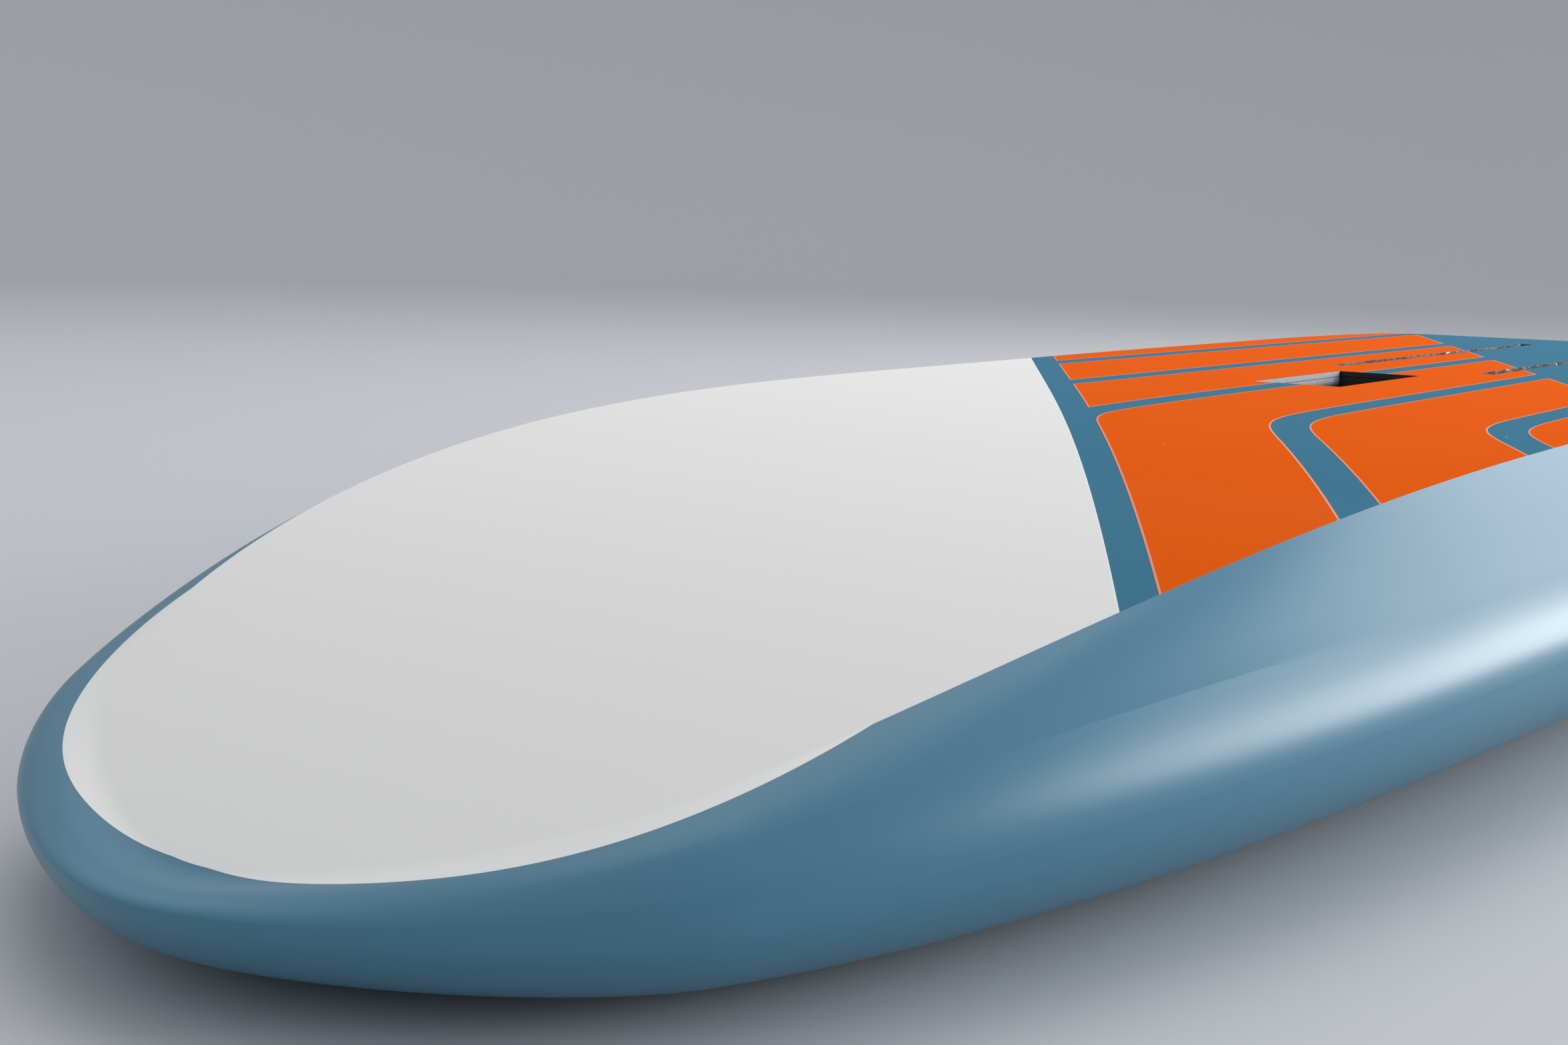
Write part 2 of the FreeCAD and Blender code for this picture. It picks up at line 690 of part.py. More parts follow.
# Foam, webs and blocks inside the shells
def foam_and_stringers():
    """Foam blank in three strips with a web on each side of the middle one."""
    inset = size("skin") + size("glue_line")
    blank = feature("core_form", core_form(inset))
    start = "-sizes.board_length"
    length = "2 * sizes.board_length"
    height = "2 * " + BOTTOM
    web_in = "(sizes.stringer_place - sizes.stringer_thickness / 2)"
    web_out = "(sizes.stringer_place + sizes.stringer_thickness / 2)"
    middle = common("middle_blank", blank, box(
        "middle_strip", (start, "-(%s - sizes.glue_line)" % web_in, "0"),
        (length, "2 * (%s - sizes.glue_line)" % web_in, height)
    ))
    hollows = [grown("block_room", *BLOCK_BOX), grown("collar_room", *COLLAR_BOX)]
    fittings = [
        ("vent", "sizes.vent_place", "0", "sizes.vent_body_radius", "sizes.vent_body_depth"),
        ("leash", "sizes.leash_place", "0", "sizes.leash_radius", "sizes.leash_depth"),
    ]
    for index, (x, y) in enumerate(STRAP_PLACES):
        fittings.append(("insert_%d" % index, x, y, "sizes.insert_radius", "sizes.insert_depth"))
    rooms = {}
    for name, x, y, radius, depth in fittings:
        rooms[name] = cylinder(
            name + "_room", (x, y, "0"), radius + " + sizes.glue_line", "%s + %s + sizes.glue_line" % (DECK, depth)
        )
    hollows += [rooms["vent"], rooms["leash"]]
    hollows += [rooms["insert_%d" % index] for index in (1, 2, 4, 5)]
    made = [cut("foam_core_centre", middle, hollows)]
    outer_inserts = {"port": rooms["insert_0"], "starboard": rooms["insert_3"]}
    for side, sign in SIDES:
        if sign > 0:
            web_low = web_in
            foam_low = "%s + sizes.glue_line" % web_out
        else:
            web_low = "-" + web_out
            foam_low = "-sizes.board_length"
        made.append(common("stringer_" + side, blank, box(
            "web_strip_" + side, (start, web_low, "0"), (length, "sizes.stringer_thickness", height)
        )))
        strip_blank = common("side_blank_" + side, blank, box(
            "side_strip_" + side, (start, foam_low, "0"),
            (length, "sizes.board_length - %s - sizes.glue_line" % web_out, height)
        ))
        made.append(cut("foam_core_" + side, strip_blank, [outer_inserts[side]]))
    return made


def foil_block():
    """Dense foam block with a pocket for each track box."""
    block = box("block_blank", *BLOCK_BOX)
    pockets = []
    for side, sign in SIDES:
        pockets.append(grown(
            "track_pocket_" + side,
            (
                "sizes.track_start - sizes.track_wall",
                "%d * sizes.track_spacing / 2 - %s / 2" % (sign, TRACK_BOX_WIDTH),
                "%s - %s" % (UNDER_BOTTOM, TRACK_HEIGHT)
            ),
            (TRACK_BOX_LENGTH, TRACK_BOX_WIDTH, TRACK_HEIGHT)
        ))
    return cut("foil_block", block, pockets)


def handle_collar():
    """Dense foam round the handle cup, rebated for the cup's flange."""
    block = box("collar_blank", *COLLAR_BOX)
    cup_room = grown(
        "cup_room",
        ("sizes.handle_start - sizes.handle_wall", "-" + CUP_NEAR, "%s - %s" % (UNDER_BOTTOM, CUP_HEIGHT)),
        ("sizes.handle_length + 2 * sizes.handle_wall", "%s + %s" % (CUP_NEAR, CUP_FAR), CUP_HEIGHT)
    )
    flange_room = grown(
        "flange_room",
        (
            "sizes.handle_start - sizes.handle_flange", "-sizes.handle_width / 2 - sizes.handle_flange",
            "%s - sizes.handle_wall" % UNDER_BOTTOM
        ),
        (
            "sizes.handle_length + 2 * sizes.handle_flange", "sizes.handle_width + 2 * sizes.handle_flange",
            "sizes.handle_wall"
        )
    )
    return cut("handle_collar", block, [cup_room, flange_room])


# Foil tracks
def track_box(side, sign):
    """Box with a T channel that opens upwards through a narrow slot."""
    owner = body("track_box_" + side)
    half = TRACK_BOX_WIDTH + " / 2"
    outer = sketch(owner, "track_outside_" + side, "YZ_Plane", (
        ("-" + half, "-" + TRACK_HEIGHT), (half, "-" + TRACK_HEIGHT), (half, "0"), ("-" + half, "0")
    ))
    pad(owner, "track_blank_" + side, outer, TRACK_BOX_LENGTH)
    lip = "-sizes.track_lip"
    floor = "-(sizes.track_lip + sizes.track_channel_height)"
    relief = "-(sizes.track_lip + sizes.track_channel_height + sizes.track_relief_depth)"
    right = (
        ("sizes.track_relief_width / 2", relief), ("sizes.track_relief_width / 2", floor),
        ("sizes.track_channel_width / 2", floor), ("sizes.track_channel_width / 2", lip),
        ("sizes.track_slot / 2", lip), ("sizes.track_slot / 2", "sizes.tool_reach")
    )
    left = [("-" + y, z) for y, z in reversed(right)]
    channel = sketch(owner, "track_channel_" + side, "YZ_Plane", list(right) + left, "sizes.track_wall")
    pocket(owner, "track_hollow_" + side, channel, "sizes.track_length")
    place(
        owner, "sizes.track_start - sizes.track_wall", "%d * sizes.track_spacing / 2" % sign, UNDER_BOTTOM
    )
    return owner


def track_nut(side, sign, end, bolt):
    """T nut: a wide foot in the channel, a collar in the slot and a threaded hole."""
    name = "track_nut_%s_%s" % (side, end)
    owner = body(name)
    foot = "(sizes.track_channel_width / 2 - sizes.nut_slack)"
    collar = "(sizes.track_slot / 2 - sizes.nut_slack)"
    height = "(sizes.track_channel_height - 2 * sizes.nut_slack)"
    right = ((foot, "-" + height), (foot, "0"), (collar, "0"), (collar, "sizes.nut_collar"))
    left = [("-" + y, z) for y, z in reversed(right)]
    profile = sketch(owner, name + "_profile", "YZ_Plane", list(right) + left)
    pad(owner, name + "_blank", profile, "sizes.nut_length")
    hole = circle_sketch(owner, name + "_hole", "XY_Plane", ("sizes.nut_length / 2", "0"), "sizes.nut_bore / 2")
    pocket(owner, name + "_thread", hole, "4 * sizes.track_channel_height", both=True)
    place(
        owner, "sizes.track_start + %s - sizes.nut_length / 2" % bolt, "%d * sizes.track_spacing / 2" % sign,
        "%s - sizes.track_lip - sizes.nut_slack" % UNDER_BOTTOM
    )
    return owner


# Handle recess
def handle_cup():
    """Moulded cup with finger room under its near lip and a flange that is bonded under the skin."""
    owner = body("handle_cup")
    lip = "(sizes.handle_lip_depth - sizes.skin - sizes.glue_line)"
    corner = "(sizes.finger_room / 2)"
    outside = sketch(owner, "cup_outside", "YZ_Plane", (
        (CUP_FAR, "0"), ("-" + CUP_FAR, "0"), ("-" + CUP_FAR, "-(%s - sizes.handle_wall)" % lip),
        ("-" + CUP_NEAR, "-(%s - sizes.handle_wall)" % lip), ("-" + CUP_NEAR, "-(%s - %s)" % (CUP_HEIGHT, corner)),
        ("-(%s - %s)" % (CUP_NEAR, corner), "-" + CUP_HEIGHT), (CUP_FAR, "-" + CUP_HEIGHT)
    ), "-sizes.handle_wall")
    pad(owner, "cup_blank", outside, "sizes.handle_length + 2 * sizes.handle_wall")
    low = "-sizes.handle_flange"
    high = "sizes.handle_length + sizes.handle_flange"
    side = "(sizes.handle_width / 2 + sizes.handle_flange)"
    flange = sketch(owner, "cup_flange_outline", "XY_Plane", (
        (low, "-" + side), (high, "-" + side), (high, side), (low, side)
    ), "-sizes.handle_wall")
    pad(owner, "cup_flange", flange, "sizes.handle_wall")
    far = "(sizes.handle_width / 2)"
    near = "(sizes.handle_width / 2 + sizes.finger_room)"
    hollow = sketch(owner, "cup_hollow_outline", "YZ_Plane", (
        (far, "sizes.tool_reach"), ("-" + far, "sizes.tool_reach"), ("-" + far, "-" + lip), ("-" + near, "-" + lip),
        ("-" + near, "-(%s - %s)" % (CUP_FLOOR, corner)), ("-(%s - %s)" % (near, corner), "-" + CUP_FLOOR),
        (far, "-" + CUP_FLOOR)
    ))
    pocket(owner, "cup_hollow", hollow, "sizes.handle_length")
    place(owner, "sizes.handle_start", "0", UNDER_BOTTOM)
    return owner


# Pressure vent
VENT_SEAT = "(sizes.vent_recess + sizes.vent_head + sizes.seal_section)"
VENT_END = "(sizes.vent_recess + sizes.vent_head + sizes.vent_thread_length)"


def vent_insert():
    owner = body("vent_insert")
    bore = "sizes.vent_thread_radius + sizes.vent_fit"
    recess = "sizes.vent_head_radius + sizes.vent_head_gap"
    profile = sketch(owner, "vent_insert_profile", "XZ_Plane", (
        (recess, "0"), ("sizes.vent_flange_radius", "0"), ("sizes.vent_flange_radius", "sizes.vent_flange"),
        ("sizes.vent_body_radius", "sizes.vent_flange"), ("sizes.vent_body_radius", "sizes.vent_body_depth"),
        (bore, "sizes.vent_body_depth"), (bore, VENT_SEAT), (recess, VENT_SEAT)
    ))
    revolve(owner, "vent_insert_turned", profile)
    place(owner, "sizes.vent_place", "0", DECK)
    return owner


def vent_screw():
    owner = body("vent_screw")
    head = "sizes.vent_recess + sizes.vent_head"
    seat = "%s - sizes.membrane_thickness" % VENT_END
    profile = sketch(owner, "vent_screw_profile", "XZ_Plane", (
        ("sizes.vent_air_radius", "sizes.vent_recess"), ("sizes.vent_head_radius", "sizes.vent_recess"),
        ("sizes.vent_head_radius", head), ("sizes.vent_thread_radius", head),
        ("sizes.vent_thread_radius", VENT_END), ("sizes.membrane_radius", VENT_END),
        ("sizes.membrane_radius", seat), ("sizes.vent_air_radius", seat)
    ))
    revolve(owner, "vent_screw_turned", profile)
    far = "(sizes.vent_head_radius + sizes.tool_reach)"
    side = "(sizes.coin_slot_width / 2)"
    slot = sketch(owner, "coin_slot_outline", "XY_Plane", (
        ("-" + far, "-" + side), (far, "-" + side), (far, side), ("-" + far, side)
    ), "sizes.vent_recess")
    pocket(owner, "coin_slot", slot, "sizes.coin_slot_depth")
    place(owner, "sizes.vent_place", "0", DECK)
    return owner


def vent_seal():
    """Rubber washer under the screw's head."""
    owner = body("vent_seal")
    inside = "(sizes.vent_thread_radius + sizes.vent_fit)"
    outside = "(sizes.vent_head_radius - sizes.vent_head_gap)"
    profile = sketch(owner, "vent_seal_profile", "XZ_Plane", (
        (inside, "sizes.press_gap"), (outside, "sizes.press_gap"),
        (outside, "sizes.seal_section - sizes.press_gap"), (inside, "sizes.seal_section - sizes.press_gap")
    ))
    revolve(owner, "vent_seal_turned", profile)
    place(owner, "sizes.vent_place", "0", "%s + sizes.vent_recess + sizes.vent_head" % DECK)
    return owner


def vent_membrane():
    return cylinder(
        "vent_membrane", ("sizes.vent_place", "0", "%s + %s - sizes.membrane_thickness" % (DECK, VENT_END)),
        "sizes.membrane_radius - sizes.press_gap", "sizes.membrane_thickness"
    )


# Leash plug
def leash_cup():
    owner = body("leash_cup")
    inside = "(sizes.leash_radius - sizes.leash_wall)"
    floor = "(sizes.leash_depth - sizes.leash_wall)"
    profile = sketch(owner, "leash_profile", "XZ_Plane", (
        (inside, "0"), ("sizes.leash_flange_radius", "0"), ("sizes.leash_flange_radius", "sizes.leash_flange"),
        ("sizes.leash_radius", "sizes.leash_flange"), ("sizes.leash_radius", "sizes.leash_depth"),
        ("0", "sizes.leash_depth"), ("0", floor), (inside, floor)
    ))
    revolve(owner, "leash_turned", profile)
    hole = circle_sketch(
        owner, "leash_pin_hole_outline", "XZ_Plane", ("0", "sizes.leash_pin_depth"), "sizes.leash_pin_radius"
    )
    pocket(owner, "leash_pin_hole", hole, "4 * sizes.leash_radius", both=True)
    place(owner, "sizes.leash_place", "0", DECK)
    return owner


def leash_pin():
    """Bar across the plug, from outside wall to outside wall."""
    item = doc.addObject("Part::Cylinder", "leash_pin")
    item.Label = "leash_pin"
    item.Placement = FreeCAD.Placement(V(0, 0, 0), FreeCAD.Rotation(V(1, 0, 0), -90))
    bind(item, Radius="sizes.leash_pin_radius - sizes.press_gap", Height="2 * sizes.leash_radius - 2 * sizes.glue_line")
    place(
        item, "sizes.leash_place", "-(sizes.leash_radius - sizes.glue_line)", "%s + sizes.leash_pin_depth" % DECK
    )
    return item


# Foot strap inserts
def strap_inserts():
    """Six threaded inserts, one solid each, flush with the deck."""
    owner = body("insert_form")
    bore = "sizes.insert_bore / 2"
    floor = "(sizes.insert_depth - sizes.insert_floor)"
    profile = sketch(owner, "insert_profile", "XZ_Plane", (
        (bore, "0"), ("sizes.insert_radius", "0"), ("sizes.insert_radius", "sizes.insert_depth"),
        ("0", "sizes.insert_depth"), ("0", floor), (bore, floor)
    ))
    revolve(owner, "insert_turned", profile)
    doc.recompute()
    copies = []
    for x, y in STRAP_PLACES:
        copy = owner.Shape.copy()
        copy.translate(V(number(x), number(y), number(DECK)))
        copies.append(copy)
    return feature("strap_inserts", Part.makeCompound(copies))


# Deck pads
def deck_pad(name, start, length, half_front, half_rear, rounded):
    """Flat soft pad under the deck with its free corners rounded."""
    owner = body(name)
    outline_sketch = sketch(owner, name + "_outline", "XY_Plane", (
        ("0", "-" + half_front), (length, "-" + half_rear), (length, half_rear), ("0", half_front)
    ))
    blank = pad(owner, name + "_blank", outline_sketch, "sizes.pad_thickness")
    if rounded:
        middle = number(length) / 2
        keep = (lambda point: point.x < middle) if rounded == "front" else (lambda point: point.x > middle)
        round_upright(owner, name + "_corners", blank, "sizes.pad_corner", keep)
    place(owner, start, "0", "0")
    return owner


def deck_pads():
    half = "sizes.pad_half_width"
    narrow = "(sizes.pad_half_width - sizes.rear_pad_taper)"
    return [
        deck_pad("deck_pad_front", "sizes.pad_start", "sizes.front_pad_length", half, half, "front"),
        deck_pad("deck_pad_middle", MIDDLE_PAD, "sizes.middle_pad_length", half, half, None),
        deck_pad("deck_pad_rear", REAR_PAD, "sizes.rear_pad_length", half, narrow, "rear"),
    ]


# The whole board
pieces = [bottom_shell(), deck_shell()]
pieces += foam_and_stringers()
pieces += [foil_block(), handle_collar(), handle_cup()]
for side, sign in SIDES:
    pieces.append(track_box(side, sign))
    pieces.append(track_nut(side, sign, "front", "sizes.front_bolt_place"))
    pieces.append(track_nut(side, sign, "rear", "(sizes.front_bolt_place + sizes.bolt_spacing)"))
pieces += [vent_insert(), vent_screw(), vent_seal(), vent_membrane()]
pieces += [leash_cup(), leash_pin(), strap_inserts()]
pieces += deck_pads()
doc.recompute()

faults = [item.Name for item in doc.Objects if {"Invalid", "Error"} & set(item.State)]
for piece in pieces:
    if piece.Shape.isNull() or not piece.Shape.isValid() or not piece.Shape.Solids:
        faults.append(piece.Label + " has no valid solid")
if faults:
    raise RuntimeError("not built: " + ", ".join(faults))

os.makedirs("parts", exist_ok=True)
for piece in pieces:
    piece.Shape.exportStep("parts/%s.step" % piece.Label)
    extent = piece.Shape.BoundBox
    print("%-26s solids %d volume %.0f x %.1f to %.1f y %.1f to %.1f z %.1f to %.1f" % (
        piece.Label, len(piece.Shape.Solids), piece.Shape.Volume,
        extent.XMin, extent.XMax, extent.YMin, extent.YMax, extent.ZMin, extent.ZMax
    ))
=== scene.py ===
import json
import math

import bmesh
import bpy
import numpy as np
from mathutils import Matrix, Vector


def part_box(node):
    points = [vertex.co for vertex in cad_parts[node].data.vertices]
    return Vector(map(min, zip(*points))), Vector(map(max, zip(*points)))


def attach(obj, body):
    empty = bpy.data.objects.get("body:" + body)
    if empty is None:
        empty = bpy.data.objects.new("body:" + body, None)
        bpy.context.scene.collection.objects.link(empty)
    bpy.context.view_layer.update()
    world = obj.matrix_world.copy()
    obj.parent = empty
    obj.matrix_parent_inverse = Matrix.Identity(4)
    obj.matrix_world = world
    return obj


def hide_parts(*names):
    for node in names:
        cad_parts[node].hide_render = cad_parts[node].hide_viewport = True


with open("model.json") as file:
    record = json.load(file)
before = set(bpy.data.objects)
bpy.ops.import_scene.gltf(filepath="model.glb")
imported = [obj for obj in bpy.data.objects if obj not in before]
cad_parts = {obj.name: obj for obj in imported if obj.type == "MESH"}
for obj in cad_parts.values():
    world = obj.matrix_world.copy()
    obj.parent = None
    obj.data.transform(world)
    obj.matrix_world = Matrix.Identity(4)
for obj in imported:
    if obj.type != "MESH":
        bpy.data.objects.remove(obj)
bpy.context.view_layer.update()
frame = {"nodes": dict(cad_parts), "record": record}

# Looks of a foil board that lies bottom up. Lengths are in metres, in the frame of the solids:
# X runs from nose to tail, Y to the port rail, Z up from the deck pads to the flat bottom.

# Hull, the same driving sizes as the solids
LENGTH = 1.6
PAD_THICKNESS = 0.005
SKIN = 0.003
BOTTOM = 0.115
RAIL_HALF_WIDTH = 0.268
NOSE_LENGTH, NOSE_POWER, NOSE_BLUNTNESS = 1.05, 2.0, 2.8
NOSE_TIP_SHARE, NOSE_TIP_LENGTH = 0.36, 0.074
TAIL_LENGTH, TAIL_POWER, TAIL_BLUNTNESS = 0.56, 2.2, 3.6
RAIL_DEPTH, NOSE_RAIL_DEPTH, RAIL_RISE_LENGTH = 0.056, 0.085, 0.6
NOSE_BAND, SIDE_BAND, TAIL_BAND, BAND_GROWTH_LENGTH = 0.022, 0.062, 0.03, 0.8
NOSE_ROCKER, ROCKER_LENGTH, ROCKER_POWER = 0.092, 0.7, 3.8
TAIL_ROCKER, TAIL_ROCKER_LENGTH = 0.008, 0.18
CHINE_OUT, CHINE_DOWN = 0.66, 0.54
CHINE_FADE_START, CHINE_FADE_END = 0.02, 0.33
DECK_ROLL, NOSE_DECK_ROLL, DECK_BOXINESS = 0.072, 0.048, 0.5
NOSE_ROLL_LENGTH = 0.44
ARC_REACH = 0.35
SMALL_STEP = 0.001

# Fineness of the surfaces
RING_STEPS = 420
BEVEL_STEPS = 16
BAND_STEPS = 26
ROLL_STEPS = 20
LID_STEPS = 6
CORNER_POINTS = 13
CUT_SIDES = 96
FLOOR_SIDES = 96
FLOOR_BEND_POINTS = 25

# Edges sharper than these angles stay crisp, in degrees
CHINE_ANGLE = 5
HULL_ANGLE = 30
PAD_ANGLE = 50
FLOOR_ANGLE = 60

# Points nearer than this are one point
MERGE_DISTANCE = 2e-6
RAIL_SAMPLES = 8001

# Openings, read from the solids that stand in them
handle_low, handle_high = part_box("handle_cup")
HANDLE_FLANGE = 0.012
HANDLE_WIDTH = 0.047
REAR_SHADE = 0.0012
TRACK_WALL = 0.0035
SLOT_WIDTH = 0.0095
HOLE_GAP = 0.0003
CUT_DEPTH, CUT_RISE = 3 * SKIN, SKIN
DECK_CUT = 2 * SKIN
INSERT_RADIUS = 0.008
STRAP_INNER_PLACE = 0.022
STRAP_SPACING = 0.145

# Paint, as straight lines x = place + slope * y and stripes along the board
WHITE_EDGE_PLACE, WHITE_EDGE_SLOPE = -0.3375, 1.70
FRONT_PLACE, FRONT_SLOPE = -0.312, 1.72
REAR_PLACE, REAR_SLOPE = 0.2915, 2.17
GAP_WIDTH = 0.015
STRAIGHT_GAPS = (0.169, 0.0855, 0.004)
BENT_GAPS = ((-0.2877, -0.075), (-0.254, -0.153))
BEND_SLOPE = 1.9
BEND_ROUNDING = 0.03
SPECK_SPACING = 1 / 46
CORNER_ROUNDING = 0.02
FILM_EDGE = 0.0004
# Width of the painted highlight just inside the orange films' edges
RIM_HIGHLIGHT_WIDTH = 0.0007
WHITE_TIP_START, WHITE_TIP_LENGTH, WHITE_TIP_HALF_WIDTH = 0.0222, 0.15, 0.134
WHITE_TIP_POWER, WHITE_TIP_BLUNTNESS = 2.2, 2.6


def fall(share):
    """Quarter circle: y^2 = 1 - (1 - share)^2, upright at 0 and level at 1."""
    return np.sqrt(np.maximum(0, 1 - (1 - np.clip(share, 0, 1)) ** 2))


def superellipse(share, power, bluntness):
    """y^bluntness = 1 - (1 - share)^power."""
    return np.maximum(0, 1 - (1 - np.clip(share, 0, 1)) ** power) ** (1 / bluntness)


def ease(share):
    """S curve 3 share^2 - 2 share^3."""
    share = np.clip(share, 0, 1)
    return share * share * (3 - 2 * share)


def mixed(start, end, share):
    return start + (end - start) * share


def half_width(from_nose):
    """Rail outline: nose superellipse times a rounded tip times tail superellipse."""
    nose = superellipse(from_nose / NOSE_LENGTH, NOSE_POWER, NOSE_BLUNTNESS)
    tip = mixed(NOSE_TIP_SHARE, 1, fall(from_nose / NOSE_TIP_LENGTH))
    tail = superellipse((LENGTH - from_nose) / TAIL_LENGTH, TAIL_POWER, TAIL_BLUNTNESS)
    return RAIL_HALF_WIDTH * nose * tip * tail


def bottom_line(from_nose):
    """Flat bottom that falls by a power curve at the nose and by a parabola at the tail."""
    nose = np.clip(1 - from_nose / ROCKER_LENGTH, 0, 1) ** ROCKER_POWER
    tail = np.clip(1 - (LENGTH - from_nose) / TAIL_ROCKER_LENGTH, 0, 1) ** 2
    return BOTTOM - NOSE_ROCKER * nose - TAIL_ROCKER * tail


def rail_line(from_nose):
    """Widest line of the rail, falling by a parabola at the nose."""
    rise = np.clip(1 - from_nose / RAIL_RISE_LENGTH, 0, 1) ** 2
    return BOTTOM - mixed(RAIL_DEPTH, NOSE_RAIL_DEPTH, rise)


def deck_line(from_nose):
    """Deck, level from end to end."""
    return np.full_like(from_nose, PAD_THICKNESS)


def unit(vectors):
    return vectors / np.maximum(np.linalg.norm(vectors, axis=-1, keepdims=True), 1e-12)


def port_rail():
    """Port rail from nose to tail with its inward normal, at even steps of length plus turning."""
    share = np.linspace(0, 1, RAIL_SAMPLES)
    from_nose = LENGTH * (1 - np.cos(np.pi * share)) / 2
    half = half_width(from_nose)
    heading = np.arctan2(np.gradient(half), np.gradient(from_nose))
    heading[0], heading[-1] = np.pi / 2, -np.pi / 2
    steps = np.hypot(np.diff(from_nose), np.diff(half)) / LENGTH + np.abs(np.diff(heading)) / 2
    way = np.concatenate([[0], np.cumsum(steps)])
    even = np.linspace(0, way[-1], RING_STEPS + 1)
    heading = np.interp(even, way, heading)
    inward = np.stack([np.sin(heading), -np.cos(heading)], axis=1)
    return np.interp(even, way, from_nose), np.interp(even, way, half), inward


RAIL_PLACE, RAIL_WIDTH, RAIL_INWARD = port_rail()


def half_ring(depth_in, height):
    """Port half of a ring: the rail moved in by depth_in, at the height that its own place gives."""
    x = np.maximum.accumulate(RAIL_PLACE + RAIL_INWARD[:, 0] * depth_in)
    y = np.maximum(RAIL_WIDTH + RAIL_INWARD[:, 1] * depth_in, 0)
    widest = int(np.argmax(y))
    y[:widest] = np.maximum.accumulate(y[:widest])
    y[widest:] = np.minimum.accumulate(y[widest:])
    y[0] = y[-1] = 0
    return np.stack([x - LENGTH / 2, y, height(x)], axis=1)


def on_curve(poles, steps):
    """Cubic Bezier curves through rows of four poles, as a grid of (ring, step, 3)."""
    t = np.linspace(0, 1, steps + 1)[None, :, None]
    a, b, c, d = (pole[:, None, :] for pole in poles)
    return a * (1 - t) ** 3 + 3 * b * t * (1 - t) ** 2 + 3 * c * t * t * (1 - t) + d * t ** 3


def bottom_grids():
    """Bevel from the panel edge to the chine and band from the chine to the rail."""
    nose = ease(RAIL_PLACE / BAND_GROWTH_LENGTH)
    tail = ease((LENGTH - RAIL_PLACE) / TAIL_LENGTH)
    band = mixed(NOSE_BAND, SIDE_BAND, nose) - (SIDE_BAND - TAIL_BAND) * (1 - tail)
    edge = half_ring(band, bottom_line)
    rail = half_ring(0 * band, rail_line)
    out = (rail - edge) * (1, 1, 0)
    down = (rail - edge) * (0, 0, 1)
    hard = ease((RAIL_PLACE - CHINE_FADE_START) / (CHINE_FADE_END - CHINE_FADE_START))[:, None]
    half_way = math.sqrt(0.5)
    chine = edge + out * mixed(half_way, CHINE_OUT, hard) + down * mixed(1 - half_way, CHINE_DOWN, hard)
    bevel = unit(chine - edge)
    lean = unit(unit(rail - chine) * 1.6 - unit(down) * 0.6)
    level = unit(out)
    slope = (bottom_line(RAIL_PLACE + SMALL_STEP) - bottom_line(RAIL_PLACE)) / SMALL_STEP
    level[:, 2] = slope * level[:, 0]
    straight = unit(rail - edge)
    leave_edge = unit(mixed(unit(level), bevel, hard))
    arrive_chine = unit(mixed(straight, bevel, hard))
    leave_chine = unit(mixed(straight, lean, hard))
    pull = np.linalg.norm(chine - edge, axis=1, keepdims=True) * ARC_REACH
    upper = on_curve((edge, edge + leave_edge * pull, chine - arrive_chine * pull, chine), BEVEL_STEPS)
    pull = np.linalg.norm(rail - chine, axis=1, keepdims=True) * ARC_REACH
    lower = on_curve((chine, chine + leave_chine * pull, rail - unit(down) * pull, rail), BAND_STEPS)
    return edge, upper, lower


def deck_grid():
    """Rounded deck rail: poles pulled from rail and deck towards their common corner."""
    width = mixed(NOSE_DECK_ROLL, DECK_ROLL, ease(RAIL_PLACE / NOSE_ROLL_LENGTH))
    rail = half_ring(0 * width, rail_line)
    deck = half_ring(width, deck_line)
    corner = np.stack([rail[:, 0], rail[:, 1], deck[:, 2]], axis=1)
    poles = (rail, mixed(rail, corner, DECK_BOXINESS), mixed(deck, corner, DECK_BOXINESS), deck)
    return deck, on_curve(poles, ROLL_STEPS)


def lid_grid(edge):
    """Straight lines across the board between both halves of a ring."""
    across = np.linspace(-1, 1, LID_STEPS + 1)[None, :, None]
    flat = edge[:, None, :] * (1, 0, 1)
    return flat + edge[:, None, :] * (0, 1, 0) * across


def mirrored(grid):
    return grid * (1, -1, 1)


def grid_quads(rows, columns, start=0):
    """Corner numbers of the quads of a grid."""
    first = start + np.arange(rows - 1)[:, None] * columns + np.arange(columns - 1)[None, :]
    first = first.reshape(-1)
    return np.stack([first, first + 1, first + columns + 1, first + columns], axis=1)


def piece(name, grids, up, finishes):
    """One mesh from grids of (points, finish number), with doubles merged and the faces pointing out.

    The largest face is on the flat lid, and up (1 or -1) says which way it faces.
    """
    points, quads, marks = [], [], []
    start = 0
    for grid, mark in grids:
        rows, columns = grid.shape[:2]
        faces = grid_quads(rows, columns, start)
        points.append(grid.reshape(-1, 3))
        quads.append(faces)
        marks.append(np.full(len(faces), mark))
        start += rows * columns
    points, quads, marks = np.concatenate(points), np.concatenate(quads), np.concatenate(marks)
    mesh = bpy.data.meshes.new(name)
    mesh.vertices.add(len(points))
    mesh.vertices.foreach_set("co", points.ravel())
    mesh.loops.add(quads.size)
    mesh.loops.foreach_set("vertex_index", quads.ravel())
    mesh.polygons.add(len(quads))
    mesh.polygons.foreach_set("loop_start", np.arange(len(quads)) * 4)
    mesh.polygons.foreach_set("material_index", marks)
    mesh.update(calc_edges=True)
    work = bmesh.new()
    work.from_mesh(mesh)
    bmesh.ops.remove_doubles(work, verts=work.verts, dist=MERGE_DISTANCE)
    bmesh.ops.dissolve_degenerate(work, edges=work.edges, dist=MERGE_DISTANCE / 2)
    bmesh.ops.recalc_face_normals(work, faces=work.faces)
    flattest = max(work.faces, key=lambda face: face.calc_area())
    if flattest.normal.z * up < 0:
        bmesh.ops.reverse_faces(work, faces=work.faces)
    work.to_mesh(mesh)
    work.free()
    obj = bpy.data.objects.new(name, mesh)
    bpy.context.collection.objects.link(obj)
    for finish in finishes:
        mesh.materials.append(finish)
    return obj


